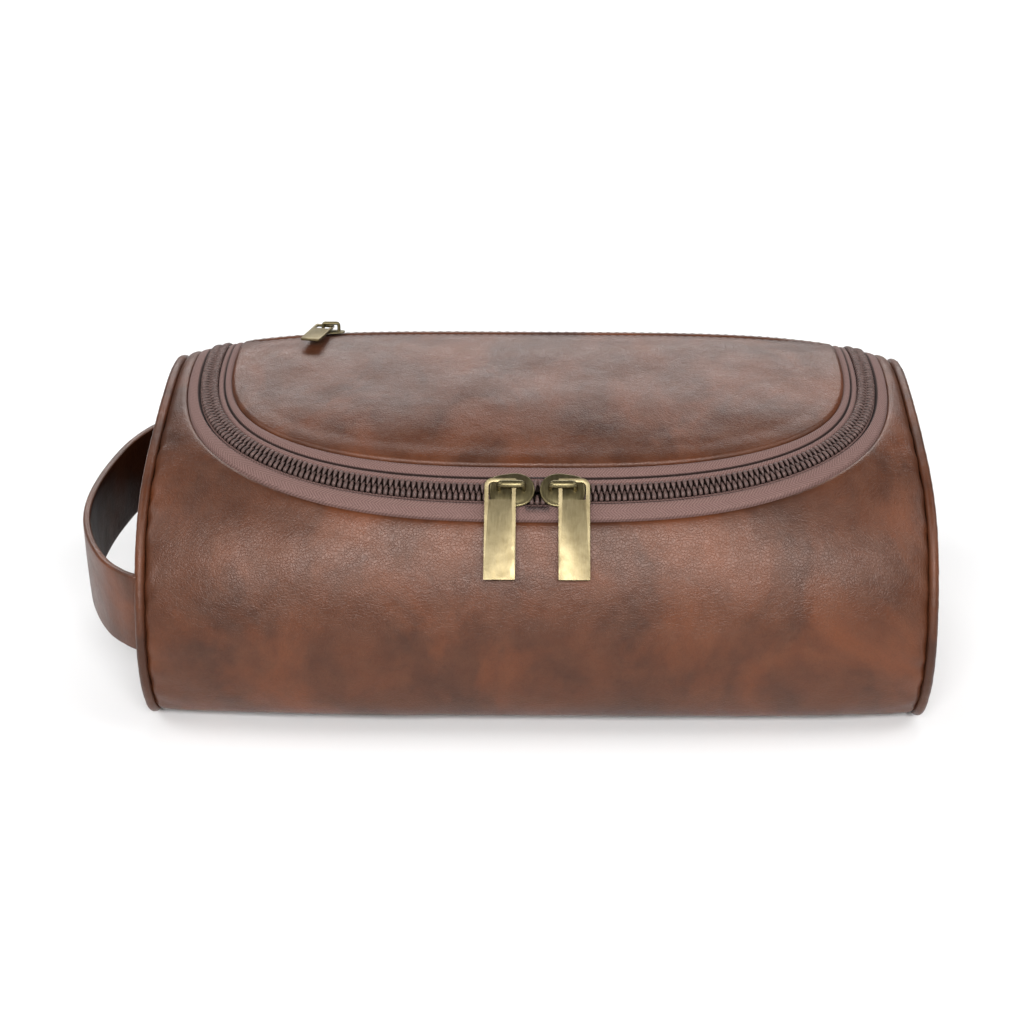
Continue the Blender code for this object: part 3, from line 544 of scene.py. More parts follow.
def wrap_planes(reach_extra, x_edge, leg_parts, front_parts, rays, rows):
    """Two grids of (x, girth): round the U opening, and from there round the base to the hinge."""
    line = zip_line(HINGE_GIRTH, 4 * (2 * leg_parts + front_parts) + 1)
    inner = offset_line(line, leather_reach(line) + reach_extra)
    inner[:, 1] = np.minimum(inner[:, 1], HINGE_GIRTH)
    inner = resampled(inner, 2 * leg_parts + front_parts + 2 * rays + 1)
    top_x = abs(inner[0, 0])
    side = np.linspace(HINGE_GIRTH, BAND_GIRTH, leg_parts + 1)
    closer = clustered(rays)
    narrow = x_edge + (top_x - x_edge) * closer
    columns = np.concatenate([-narrow, np.linspace(-top_x, top_x, front_parts + 1)[1:-1], narrow[::-1]])
    outer = np.vstack([
        np.stack([np.full(leg_parts, -x_edge), side[:-1]], 1),
        np.stack([columns, np.full(len(columns), BAND_GIRTH)], 1),
        np.stack([np.full(leg_parts, x_edge), side[::-1][1:]], 1),
    ])
    near = np.array([*NEAR_EDGE, 0.0024])
    shares = (1 - closer[::-1])[::-1][:, None, None]
    plane = inner[None] * (1 - shares) + outer[None] * shares
    leg = np.stack([-narrow[::-1], np.full(rays + 1, HINGE_GIRTH)], 1)
    plane[:, 0] = leg
    plane[:, -1] = leg * (-1, 1)
    steps = plane[1] - plane[0]
    reach = np.linalg.norm(steps, axis=1, keepdims=True)
    rim = [plane[0] + steps / reach * np.minimum(d, reach * 0.9) for d in near]
    rim[0] = plane[0]
    plane = np.concatenate([np.array(rim), plane[1:]])
    girths = np.linspace(BAND_GIRTH, HINGE_GIRTH - GIRTH, rows + 1)
    girths = np.concatenate([girths[:-1], (HINGE_GIRTH - GIRTH) + near[::-1]])
    grid_x, grid_girth = np.meshgrid(columns, girths)
    return plane, np.stack([grid_x, grid_girth], -1)


def make_wrap():
    planes = wrap_planes(0.0, SEAM_EDGE_X, 60, 130, 26, 170)
    obj = sheet_object("body_leather", planes, wrap_height)
    dress(obj, LEATHER, "root", "leather", "body_wrap")


def lid_plane(edge_reach, girth_end, columns, rows):
    """A grid of (x, girth) inside the U, edge_reach inside the chain's middle, back to girth_end."""
    line = zip_line(HINGE_GIRTH, 801)
    edge = offset_line(line, -(leather_reach(line) + edge_reach))
    edge = edge[edge[:, 1] <= girth_end]
    end_x = abs(edge[0, 0])
    edge = resampled(np.vstack([[-end_x, girth_end], edge, [end_x, girth_end]]), 1001)
    corner = int(np.argmin(np.abs(edge[:, 0] + 0.80 * end_x) + 9 * (edge[:, 0] > 0)))
    left = edge[: corner + 1]
    front = edge[corner : len(edge) - corner]
    right = edge[len(edge) - corner - 1 :][::-1]
    u, v = clustered(columns), clustered(rows)

    def spread(points, shares):
        dense = resampled(points, 1001)
        return np.stack([np.interp(shares, np.linspace(0, 1, 1001), dense[:, k]) for k in (0, 1)], 1)

    left, right, front = spread(left, v), spread(right, v), spread(front, u)
    top = np.stack([-end_x + 2 * end_x * u, np.full(len(u), girth_end)], 1)
    u, v = u[None, :, None], v[:, None, None]
    plane = (1 - v) * top[None] + v * front[None] + (1 - u) * left[:, None] + u * right[:, None]
    return plane - (1 - v) * ((1 - u) * top[0] + u * top[-1]) - v * ((1 - u) * front[0] + u * front[-1])


def rimmed(plane, near=NEAR_EDGE):
    """The grid with extra rows and columns at these distances inside its border."""
    for axis in (0, 1):
        plane = np.swapaxes(plane, 0, axis)
        for _ in range(2):
            steps = plane[1] - plane[0]
            reach = np.linalg.norm(steps, axis=1, keepdims=True)
            most = [reach * (0.5 + 0.05 * k) for k in range(len(near))]
            rim = [plane[0] + steps / reach * np.minimum(d, limit) for d, limit in zip(near, most)]
            plane = np.concatenate([np.array(rim), plane[1:]])[::-1]
        plane = np.swapaxes(plane, 0, axis)
    return plane


def pocket_half(x):
    """Half of the slot between the lid's two leather edges: it closes beyond the chain's ends."""
    beyond = np.maximum(POCKET_X[0] - x, x - POCKET_X[1])
    return POCKET_GAP / 2 - (POCKET_GAP / 2 - 0.00025) * smooth(0.0015, 0.0075, beyond)


def lid_edge(plane):
    """The distance to the lid's edge beside the zipper."""
    line = zip_line(HINGE_GIRTH, 241)
    return distance_to(plane, offset_line(line, -leather_reach(line)))


def lid_height(plane):
    behind = np.abs(np.abs(plane[..., 1] - POCKET_GIRTH) - pocket_half(plane[..., 0]))
    distance = np.minimum(lid_edge(plane), behind)
    return turned_edge(distance) + drape(plane, distance)


def toward_pocket(plane, girth_edge, sign):
    """Moves the grid's rear or front border to follow the pocket slot's edge."""
    x, girth = plane[..., 0], plane[..., 1]
    moved = POCKET_GIRTH + sign * pocket_half(x) - girth_edge
    girth = girth + moved * smooth(0.010, 0.0, np.abs(girth - girth_edge))
    return np.stack([x, girth], -1)


def make_lid():
    start = POCKET_GIRTH - POCKET_GAP / 2
    plane = toward_pocket(rimmed(lid_plane(0.0, start, 150, 78)), start, -1)
    dress(sheet_object("lid_leather", [plane], lid_height), LEATHER, "lid", "leather", "lid_panel")
    side = ZIP_HALF_WIDTH - TAPE_REACH_SIDE
    start = POCKET_GIRTH + POCKET_GAP / 2
    x, girth = np.meshgrid(np.linspace(-side, side, 151), np.linspace(start, HINGE_GIRTH + 0.0030, 27))
    plane = toward_pocket(rimmed(np.stack([x, girth], -1)), start, 1)

    def height(plane):
        girth = plane[..., 1]
        beside = side - np.abs(plane[..., 0])
        slot = np.abs(girth - POCKET_GIRTH - pocket_half(plane[..., 0]))
        distance = np.minimum(beside, slot)
        tucked = 0.0021 * smooth(HINGE_GIRTH - 0.0042, HINGE_GIRTH + 0.0002, girth)
        return turned_edge(distance) - tucked

    back = sheet_object("lid_back_leather", [plane], height)
    dress(back, LEATHER, None, "leather", "lid_back_strip")
    blend_hinge(back)


def blend_hinge(obj):
    """Bakes the piece's transform into its mesh; the hinge points that it finds are not used."""
    start = skin(0.0, HINGE_GIRTH + 0.0010)
    end = skin(0.0, HINGE_GIRTH - 0.0065)
    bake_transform(obj)


# ---------------------------------------------------------------- zippers
TOOTH_PITCH = 0.0019
TOOTH_RINGS = (  # heel to head, in mm: from the chain's middle, height, half width and half thickness
    (3.05, -0.70, 0.45, 0.20), (2.95, -0.05, 0.62, 0.40), (2.35, 0.30, 0.70, 0.50),
    (1.50, 0.36, 0.66, 0.50), (0.80, 0.26, 0.52, 0.46), (0.20, 0.06, 0.36, 0.40),
    (-0.35, -0.20, 0.22, 0.32), (-0.55, -0.40, 0.10, 0.16),
)
RING_SIDES = 8
PARTED_X, PARTED_BY = 0.0075, 0.0013  # between the two sliders the chain stands open
CHAIN_START, LID_CHAIN_SHORT = 0.0008, 0.0040  # the lid's half stops short of the hinge
LID_CHAIN_LATER = LID_CHAIN_SHORT + 2.5 * TOOTH_PITCH  # the lid's teeth stand between the body's
# the bands under the teeth are painted shade, standing for the shadowed gap below the chain
SHADE_BAND_INNER, SHADE_BAND_OUTER, SHADE_BAND_HEIGHT = 0.0004, 0.0030, -0.0007  # dark bands under the teeth
# The tapes' sections next to the chain, from the chain's middle and height, in mm: a groove, on the
# lid's side a stitched band before it, then the plain band
BODY_PROFILE = (
    (0.5, -1.35), (2.4, -1.35), (3.3, -1.35), (3.55, -1.55), (3.85, -1.45), (4.05, -0.35),
    (4.3, 0.0), (5.0, 0.08),
)
LID_PROFILE = (
    (0.5, -1.35), (2.4, -1.25), (3.1, -1.05), (3.35, -0.35), (3.7, -0.05), (4.5, -0.02), (4.85, -0.25),
    (5.05, -1.20), (5.35, -1.25), (5.5, -0.30), (5.75, 0.02),
)
TAPE_OUTER_PROFILE = ((-1.5, 0.12), (-0.7, 0.02), (-0.25, -0.35), (0.0, -0.9), (1.2, -1.9), (3.0, -2.3))


def parting(x):
    return PARTED_BY * smooth(PARTED_X, 0.0015, np.abs(x))


def run_length(line):
    return np.concatenate([[0.0], np.cumsum(np.linalg.norm(np.diff(line, axis=0), axis=1))])


def tape_object(name, sign, leg_end):
    """One side of the main tape: sign is 1 for the body's side and -1 for the lid's."""
    line = zip_line(leg_end, 420)
    reach = leather_reach(line)
    run = run_length(line)
    hidden = 0.0016 * smooth(HINGE_GIRTH - 0.0035, HINGE_GIRTH + 0.0005, line[:, 1])
    points, uv = [], []
    profile = BODY_PROFILE if sign > 0 else LID_PROFILE
    places = [(c * MM + parting(line[:, 0]) * (c < 4.8), h) for c, h in profile]
    places += [(reach + c * MM, h) for c, h in TAPE_OUTER_PROFILE]
    for away, height in places:
        row = offset_line(line, sign * away)
        points.append(skin(row[:, 0], row[:, 1], height * MM - hidden))
        uv.append(np.stack([run, np.broadcast_to(away, run.shape)], 1))
    return grid_object(name, [(np.array(points), np.array(uv))])


def teeth_object(name, line, sign, first, last, pitch=TOOTH_PITCH, scale=1.0, sink=0.0, apart=parting):
    """A row of moulded teeth along one side of a line, between two distances along it."""
    run = run_length(line)
    places = np.arange(first, last, pitch)
    middle = np.stack([np.interp(places, run, line[:, k]) for k in (0, 1)], 1)
    normal = outward(line)
    away = np.stack([np.interp(places, run, normal[:, k]) for k in (0, 1)], 1) * sign
    along = np.stack([-away[:, 1], away[:, 0]], 1)
    shift = apart(middle[:, 0])
    angles = np.arange(RING_SIDES) * 2 * math.pi / RING_SIDES
    rings = []
    for c, h, half_width, half_thick in TOOTH_RINGS:
        reach = c * MM * scale + shift
        wide = half_width * MM * scale * np.cos(angles)
        place = middle[:, None] + away[:, None] * reach[:, None, None] + along[:, None] * wide[None, :, None]
        height = (h + half_thick * np.sin(angles)) * MM * scale - sink
        rings.append(skin(place[..., 0], place[..., 1], height))
    made = bmesh.new()
    for tooth in np.array(rings).swapaxes(0, 1):
        add_rings(made, tooth)
    bmesh.ops.recalc_face_normals(made, faces=made.faces[:])
    return finished(name, made)


def band_object(name, line, inner, outer, height):
    """A narrow flat band between two offsets of a line."""
    run = run_length(line)
    points, uv = [], []
    for away in np.linspace(inner, outer, 4):
        row = offset_line(line, away)
        points.append(skin(row[:, 0], row[:, 1], height))
        uv.append(np.stack([run, np.full(len(run), away)], 1))
    return grid_object(name, [(np.array(points), np.array(uv))])


def make_main_zipper():
    tape = tape_object("body_zip_tape", 1, HINGE_GIRTH + 0.0040)
    dress(tape, TAPE, "root", "zip_tape", "zip_tape_body")
    tape = tape_object("lid_zip_tape", -1, HINGE_GIRTH + 0.0040)
    dress(tape, LID_TAPE, None, "zip_tape", "zip_tape_lid")
    blend_hinge(tape)
    line = zip_line(HINGE_GIRTH - 0.0020, 1201)
    end = run_length(line)[-1] - CHAIN_START
    row = teeth_object("body_zip_teeth", line, 1, CHAIN_START, end)
    dress(row, COIL, "root", "zip_coil", "zip_coil_body")
    row = teeth_object("lid_zip_teeth", line, -1, CHAIN_START + LID_CHAIN_LATER, end - LID_CHAIN_SHORT)
    dress(row, COIL, "lid", "zip_coil", "zip_coil_lid_left", "zip_coil_lid_right")
    # painted shade: near-black bands under each row of teeth
    shade_band = band_object("body_zip_shade_band", line, SHADE_BAND_INNER, SHADE_BAND_OUTER, SHADE_BAND_HEIGHT)
    dress(shade_band, GAP_SHADE, "root", "zip_coil")
    line = zip_line(HINGE_GIRTH - 0.0060, 601)
    shade_band = band_object("lid_zip_shade_band", line, -SHADE_BAND_OUTER, -SHADE_BAND_INNER, SHADE_BAND_HEIGHT)
    dress(shade_band, GAP_SHADE, "lid", "zip_coil")


# ---------------------------------------------------------------- sliders and pulls
PLATE_OUTLINE = (  # control points of the slider's plate, in mm: round nose at -x, squarer tail at +x
    (7.3, 0), (7.2, 2.6), (6.2, 4.9), (2.6, 5.5), (-1.6, 6.3), (-6.0, 4.8),
    (-7.9, 0), (-6.0, -4.8), (-1.6, -6.3), (2.6, -5.5), (6.2, -4.9), (7.2, -2.6),
)
PLATE_RINGS = (  # share of the outline and height in mm, from the underside over the domed top
    (0.90, 1.30), (1.0, 1.34), (1.02, 1.55), (1.015, 1.80), (0.985, 1.98), (0.93, 2.06), (0.89, 2.05),
    (0.80, 2.20), (0.62, 2.40), (0.36, 2.52), (0.02, 2.55),
)
FOOT_RINGS = ((0.02, -1.9), (0.80, -1.9), (0.84, -2.05), (0.84, -2.6), (0.80, -2.75), (0.02, -2.75))
SLIDER_BOXES = (  # low corner, high corner and bevel, in mm: two side walls, then the post
    ((-2.0, -5.0, -0.1), (6.0, -4.3, 1.6), 0.15), ((-2.0, 4.3, -0.1), (6.0, 5.0, 1.6), 0.15),
    ((-5.2, -0.4, -2.2), (-3.4, 0.4, 1.6), 0.12),
)
ARCH_RADIUS = 0.0009
ARCH_INNER, ARCH_OUTER, ARCH_HEIGHT, ARCH_BEND = -0.0039, 0.0043, 0.0062, 0.0013
PULL_WIDTH, PULL_THICK, PULL_LENGTH, PULL_BORDER, PULL_WINDOW = 0.0102, 0.0014, 0.0334, 0.0013, 0.0058
PULL_CLEARANCE, PULL_HEIGHT, PULL_SIDE, PULL_TILT = 0.0004, 0.0043, -0.0005, math.radians(15.5)
PULL_CORNERS = (0.0005, 0.0026, 0.0003, 0.0003)  # from the inner top corner, clockwise
WINDOW_CORNERS = (0.0005, 0.0015, 0.0003, 0.0003)


def chain_frame(x):
    """The chain's frame at x: place, outward along the chain, down the front, and off the surface."""
    def place(value):
        share = abs(value) / ZIP_HALF_WIDTH
        girth = ZIP_LEGS_FROM - ZIP_REACH * (1 - share**ZIP_POWER) ** (1 / ZIP_POWER)
        return Vector(skin(value, girth)), girth

    here, girth = place(x)
    along = (place(x + 1e-4)[0] - place(x - 1e-4)[0]).normalized()
    if x < 0:
        along = -along
    up = Vector(normal_at(x, to_t(girth)))
    up = (up - along * up.dot(along)).normalized()
    down = up.cross(along) if x > 0 else along.cross(up)
    if down.z > 0:
        down = -down
    return here, along, down, up


def frame_matrix(origin, x_axis, y_axis, z_axis):
    rows = zip(x_axis, y_axis, z_axis, origin)
    return Matrix([list(row) for row in rows] + [[0, 0, 0, 1]])


def add_stack(made, outline, rings):
    """A closed solid from an outline repeated at several sizes and heights."""
    add_rings(made, [[(x * share, y * share, z * MM) for x, y in outline] for share, z in rings])


def add_sweep(made, path, sections):
    """A closed bar through points in the slider's x-z plane, with half sizes across and through."""
    points = np.array(path, float)
    along = np.gradient(points, axis=0)
    along /= np.linalg.norm(along, axis=1, keepdims=True)
    rings = []
    for (x, z), (dx, dz), (across, through) in zip(points, along, sections):
        rings.append([(x - dz * b, a, z + dx * b) for a, b in ellipse(across, through, 16)])
    add_rings(made, rings)


def add_box(made, low, high, bevel):
    cube = bmesh.ops.create_cube(made, size=1.0)["verts"]
    for vert in cube:
        vert.co = [(a + (b - a) * (c + 0.5)) * MM for a, b, c in zip(low, high, vert.co)]
    edges = {edge for vert in cube for edge in vert.link_edges}
    bmesh.ops.bevel(made, geom=list(edges), offset=bevel * MM, segments=2, affect="EDGES", profile=0.5)


def arch_path():
    centre, half = (ARCH_INNER + ARCH_OUTER) / 2, (ARCH_OUTER - ARCH_INNER) / 2
    path, sizes = [], []
    for sign in (-1, 1):
        leg = [(centre + sign * half, z * MM, 1.00, 0.85) for z in (1.9, 2.7, 3.6, 4.6)]
        for k in range(1, 7):
            angle = math.radians(15 * k)
            x = centre + sign * (half - ARCH_BEND + ARCH_BEND * math.cos(angle))
            z = ARCH_HEIGHT - ARCH_BEND + ARCH_BEND * math.sin(angle)
            leg.append((x, z, 1.00 + 0.30 * k / 6, 0.85 + 0.05 * k / 6))
        leg = leg if sign < 0 else leg[::-1]
        path += [(x, z) for x, z, _, _ in leg]
        sizes += [(a * MM, b * MM) for _, _, a, b in leg]
    return path, sizes


def slider_object(name, matrix, scale=1.0, whole=True):
    """A slider: domed plate with a rim, bridge, and below the tape a post and a foot."""
    made = bmesh.new()
    outline = [tuple(p) for p in spline_point(PLATE_OUTLINE, np.linspace(0, len(PLATE_OUTLINE), 49)[:-1])]
    add_stack(made, outline, PLATE_RINGS)
    add_sweep(made, *arch_path())
    if whole:
        add_stack(made, outline, FOOT_RINGS)
        for low, high, bevel in SLIDER_BOXES:
            add_box(made, low, high, bevel)
    bmesh.ops.recalc_face_normals(made, faces=made.faces[:])
    obj = finished(name, made)
    obj.data.transform(matrix @ Matrix.Scale(scale, 4))
    if matrix.determinant() < 0:
        obj.data.flip_normals()
    obj.data.set_sharp_from_angle(angle=math.radians(50))
    return obj


def corner_outline(low_x, high_x, low_y, high_y, radii):
    """A rectangle's outline with its own radius at each corner, from low x and y."""
    corners = ((low_x, low_y, 180), (high_x, low_y, 270), (high_x, high_y, 0), (low_x, high_y, 90))
    outline = []
    for (x, y, start), radius in zip(corners, radii):
        centre_x = x + radius if x == low_x else x - radius
        centre_y = y + radius if y == low_y else y - radius
        for k in range(9):
            angle = math.radians(start + 90 * k / 8)
            outline.append((centre_x + radius * math.cos(angle), centre_y + radius * math.sin(angle)))
    return outline


def pull_mesh(matrix):
    """A pull's flat plate with its window, in the frame of the joint: x across and y down its length."""
    top = -(ARCH_RADIUS + PULL_CLEARANCE + PULL_BORDER)
    low_x, high_x = PULL_SIDE - PULL_WIDTH / 2, PULL_SIDE + PULL_WIDTH / 2
    outer = corner_outline(low_x, high_x, top, top + PULL_LENGTH, PULL_CORNERS)
    inside, low = top + PULL_BORDER, top + PULL_BORDER + PULL_WINDOW
    window = corner_outline(low_x + PULL_BORDER, high_x - PULL_BORDER, inside, low, WINDOW_CORNERS)
    curve = bpy.data.curves.new("pull_outline", "CURVE")
    curve.dimensions, curve.fill_mode, curve.extrude = "2D", "BOTH", PULL_THICK / 2
    for outline in (outer, window):
        spline = curve.splines.new("POLY")
        spline.points.add(len(outline) - 1)
        for point, (x, y) in zip(spline.points, outline):
            point.co = (x, y, 0.0, 1.0)
        spline.use_cyclic_u = True
    mesh = bpy.data.meshes.new_from_object(bpy.data.objects.new("pull_outline", curve))
    mesh.transform(matrix)
    return mesh


def polished_object(name, solid, width):
    """A metal plate's solid with its edges rounded by width; the rounded edges take the piece's second
    material, a lighter brass that paints a highlight on them.
    """
    made = bmesh.new()
    made.from_mesh(solid)
    bmesh.ops.remove_doubles(made, verts=made.verts[:], dist=2e-6)
    bmesh.ops.dissolve_limit(made, angle_limit=math.radians(3), verts=made.verts[:], edges=made.edges[:])
    bmesh.ops.recalc_face_normals(made, faces=made.faces[:])
    corners = [e for e in made.edges if len(e.link_faces) == 2 and e.calc_face_angle() > math.radians(50)]
    # the bevel faces go in the second material, the lighter brass of the painted edge highlight
    rounding = {"segments": 3, "affect": "EDGES", "profile": 0.5, "clamp_overlap": True, "material": 1}
    bmesh.ops.bevel(made, geom=corners, offset=width, **rounding)
    bmesh.ops.triangulate(made, faces=[f for f in made.faces if len(f.verts) > 4])
    obj = finished(name, made)
    obj.data.set_sharp_from_angle(angle=math.radians(35))
    return obj


def make_metal():
    for side, name in ((-1, "left"), (1, "right")):
        matrix = frame_matrix(*chain_frame(side * SLIDER_X))
        slider = slider_object("slider_plate_" + name, matrix)
        dress(slider, DARK_BRASS, "slider_" + name, "antique_brass", "slider_" + name)
        foot = Matrix.Translation((ARCH_OUTER, 0, PULL_HEIGHT))
        solid = pull_mesh(matrix @ foot @ Matrix.Rotation(-PULL_TILT, 4, "X"))
        pull = polished_object("pull_tab_" + name, solid, 0.00034)
        dress(pull, (BRASS, EDGE_HIGHLIGHT_BRASS), "pull_" + name, "antique_brass", "pull_" + name)
        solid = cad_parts["pocket_stop_" + name].data
        stop = polished_object("pocket_end_stop_" + name, solid, 0.00025)
        # the stops' rounded edges take the lighter brass, a painted highlight
        dress(stop, (DARK_BRASS, BRASS), "lid", "antique_brass", "pocket_stop_" + name)
    here = Vector(skin(POCKET_SLIDER_X, POCKET_GIRTH))
    along = Vector((1.0, 0.0, 0.0))
    up = Vector(normal_at(POCKET_SLIDER_X, to_t(POCKET_GIRTH)))
    up = (up - along * up.dot(along)).normalized()
    matrix = frame_matrix(here + up * POCKET_LIFT, along, along.cross(up), up)
    slider = slider_object("pocket_slider_plate", matrix, POCKET_SCALE, whole=False)
    dress(slider, DARK_BRASS, "pocket_slider", "antique_brass", "pocket_slider")
    pull = polished_object("pocket_pull_tab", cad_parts["pocket_pull"].data, 0.00024)
    dress(pull, (BRASS, EDGE_HIGHLIGHT_BRASS), "pocket_pull", "antique_brass", "pocket_pull")


# ---------------------------------------------------------------- lid pocket
POCKET_TOOTH_SCALE, POCKET_PITCH, POCKET_SINK = 0.60, 0.69 * TOOTH_PITCH, 0.0009
POCKET_TAPE_X, POCKET_TAPE_REACH, POCKET_TAPE_HEIGHT = (-0.101, 0.090), 0.0062, -0.0022


def closed_chain(x):
    return np.zeros_like(x)


def make_pocket():
    x = np.linspace(*POCKET_X, 301)
    line = np.stack([x, np.full_like(x, POCKET_GIRTH)], 1)
    x = np.linspace(*POCKET_TAPE_X, 121)
    tape_line = np.stack([x, np.full_like(x, POCKET_GIRTH)], 1)
    size = {"pitch": POCKET_PITCH, "scale": POCKET_TOOTH_SCALE, "sink": POCKET_SINK, "apart": closed_chain}
    for name, sign, first in (("front", 1, 0.0), ("back", -1, POCKET_PITCH / 2)):
        row = teeth_object("pocket_teeth_" + name, line, sign, first, POCKET_X[1] - POCKET_X[0], **size)
        dress(row, COIL, "lid", "zip_coil", "pocket_coil_" + name)
        sides = (sign * 0.0002, sign * POCKET_TAPE_REACH)
        tape = band_object("pocket_zip_tape_" + name, tape_line, *sides, POCKET_TAPE_HEIGHT)
        dress(tape, TAPE, "lid", "zip_tape", "pocket_tape_" + name)


# ---------------------------------------------------------------- stitches
STITCH_PITCH, STITCH_LENGTH, STITCH_RADIUS, STITCH_INSET = 0.0031, 0.0023, 0.00018, 0.0021
STITCH_RINGS = (  # share of the length from the middle, dip in metres, share of the radius
    (-0.5, 0.00035, 0.35), (-0.36, 0.0, 0.9), (0.0, -0.00008, 1.0), (0.36, 0.0, 0.9), (0.5, 0.00035, 0.35),
)


def stitches_object(name, line, height):
    """Stitches along a line in (x, girth), each a short thread that dips at both ends."""
    run = run_length(line)
    made = bmesh.new()
    for start in np.arange(STITCH_PITCH * 0.5, run[-1] - STITCH_PITCH * 0.5, STITCH_PITCH):
        rings = []
        for share, dip, thick in STITCH_RINGS:
            place = start + share * STITCH_LENGTH
            x, girth = (np.interp(place, run, line[:, k]) for k in (0, 1))
            level = float(np.interp(place, run, height)) - dip
            base = skin(x, girth, level)
            up = normal_at(x, to_t(girth))
            ahead = skin(x + 1e-4, girth, level) - base
            side = np.cross(up, ahead / np.linalg.norm(ahead))
            ring = ellipse(STITCH_RADIUS * thick * 1.2, STITCH_RADIUS * thick, 6)
            rings.append([base + side * a + up * b for a, b in ring])
        add_rings(made, rings)
    bmesh.ops.recalc_face_normals(made, faces=made.faces[:])
    return finished(name, made)


def make_stitches():
    x = np.linspace(-0.1055, 0.1055, 200)
    for name, sign in (("front", -1), ("back", 1)):
        line = np.stack([x, POCKET_GIRTH + sign * (pocket_half(x) + STITCH_INSET)], 1)
        level = lid_height(line) if sign < 0 else turned_edge(np.full_like(x, STITCH_INSET))
        row = stitches_object("pocket_stitches_" + name, line, level - 0.0001)
        dress(row, THREAD, "lid", "leather")
    x = np.linspace(-0.121, 0.121, 220)
    line = np.stack([x, np.full_like(x, HINGE_GIRTH + 0.0024)], 1)
    row = stitches_object("hinge_stitches", line, wrap_height(line) + 0.0001)
    dress(row, THREAD, "root", "leather")


# ---------------------------------------------------------------- ends
PIPE_INSET, PIPE_SWELL = 0.0006, 0.00008
PIPE_WRINKLES = ((420, 1.0), (1100, 0.6))  # lumps per metre and their share


def end_line(inset, count):
    """Points (y, z) of the end outline, moved inwards by inset and kept off the ground."""
    t = np.linspace(0, TURNS, 6 * count + 1)
    points = spline_point(END_OUTLINE, t)
    along = np.gradient(points, axis=0)
    along /= np.linalg.norm(along, axis=1, keepdims=True)
    points = points + np.stack([along[:, 1], -along[:, 0]], 1) * inset
    return resampled(points, count + 1)[:-1] - (BASE_DEPTH_MIDDLE, 0.0)


def ring_path(side, inset, count, x, lowest):
    """Places along an end outline, each with a sideways and an inward direction."""
    line = end_line(inset, count)
    line[:, 1] = np.maximum(line[:, 1], lowest)
    along = np.roll(line, -1, axis=0) - np.roll(line, 1, axis=0)
    along /= np.linalg.norm(along, axis=1, keepdims=True)
    return [((side * x, y, z), (side, 0, 0), (0, -dz, dy)) for (y, z), (dy, dz) in zip(line, along)]


def make_piping(side, name):
    path = ring_path(side, PIPE_INSET, 420, SEAM_X, PIPE_RADIUS + 0.0002)
    sections = []
    for point, _, _ in path:
        wrinkle = sum(share * noise.noise(Vector(point) * scale) for scale, share in PIPE_WRINKLES)
        radius = PIPE_RADIUS + PIPE_SWELL * wrinkle
        sections.append(ellipse(radius, radius, 16))
    pipe = tube("piping_cord_" + name, path, sections, closed=True)
    dress(pipe, PIPING_LEATHER, "root", "piping_leather", "piping_" + name)


def end_sheet(name, side, insets, rise):
    """A sheet that fills the end outline: rings at growing insets, then shrinking towards the middle."""
    count = 220
    rings = [end_line(inset, count) for inset in insets]
    middle = rings[-1].mean(axis=0)
    rings += [middle + (rings[-1] - middle) * share for share in MIDDLE_SHARES]
    run = np.cumsum(np.linalg.norm(np.roll(rings[0], -1, axis=0) - rings[0], axis=1))
    points, uv = [], []
    for k, ring in enumerate(rings):
        ring = np.stack([ring[:, 0], np.maximum(ring[:, 1], END_LOWEST)], 1)
        place = np.stack([side * rise(k, ring, run), ring[:, 0], ring[:, 1]], 1)
        points.append(np.vstack([place, place[:1]]))
        uv.append(np.vstack([ring, ring[:1]]))
    return grid_object(name, [(points, uv)])


PANEL_INSETS = (0.0012, 0.0020, 0.0027, 0.0036, 0.0050, 0.0075, 0.0110, 0.0160, 0.0220)
PANEL_LEVELS = (-0.0012, -0.0004, 0.0001, 0.0005, 0.0009, 0.0013, 0.0015, 0.0017, 0.0019)
CLOTH_INSETS = (0.0045, 0.0060, 0.0080, 0.0110, 0.0160, 0.0220)
MIDDLE_SHARES = (0.86, 0.70, 0.54, 0.38, 0.22, 0.08, 0.004)
END_LOWEST = 0.0030
BINDING_INSET, BINDING_LOWEST, BINDING_HALF_THICK, BINDING_HALF_WIDTH = 0.0098, 0.0096, 0.00085, 0.0034


def make_end(side, name):
    def panel_rise(k, ring, run):
        level = PANEL_LEVELS[min(k, len(PANEL_LEVELS) - 1)]
        pucker = 0.00022 * math.exp(-((k - 5) / 2.2) ** 2) * np.sin(run / 0.0105 * 2 * math.pi)
        slow = 0.0005 * wander(ring, 0.030, 3.0 + side) * min(1.0, k / 8)
        return SEAM_X + level + pucker + slow

    def cloth_rise(k, ring, run):
        slow = 0.0007 * wander(ring, 0.022, 9.0 + side) * min(1.0, k / 4)
        return SEAM_X - 0.0020 - 0.0004 * min(k, 4) + slow

    panel = end_sheet("end_leather_" + name, side, PANEL_INSETS, panel_rise)
    dress(panel, LEATHER, "root", "leather", "end_panel_" + name)
    cloth = end_sheet("end_cloth_" + name, side, CLOTH_INSETS, cloth_rise)
    cloth.data.flip_normals()
    dress(cloth, LINING, "root", "lining_fabric", "end_lining_" + name)
    path = ring_path(side, BINDING_INSET, 240, SEAM_X - 0.0046, BINDING_LOWEST)
    sections = []
    for point, _, _ in path:
        swell = 1 + 0.10 * noise.noise(Vector(point) * 260)
        sections.append(ellipse(BINDING_HALF_THICK * swell, BINDING_HALF_WIDTH, 14))
    binding = tube("end_binding_" + name, path, sections, closed=True)
    dress(binding, BINDING, "root", "binding_tape", "seam_binding_" + name)


# ---------------------------------------------------------------- lining
LID_CLOTH_GIRTH = HINGE_GIRTH - 0.0045
STRIP_X, STRIP_HALF = 0.1075, 0.0065  # the tape inside the hinge


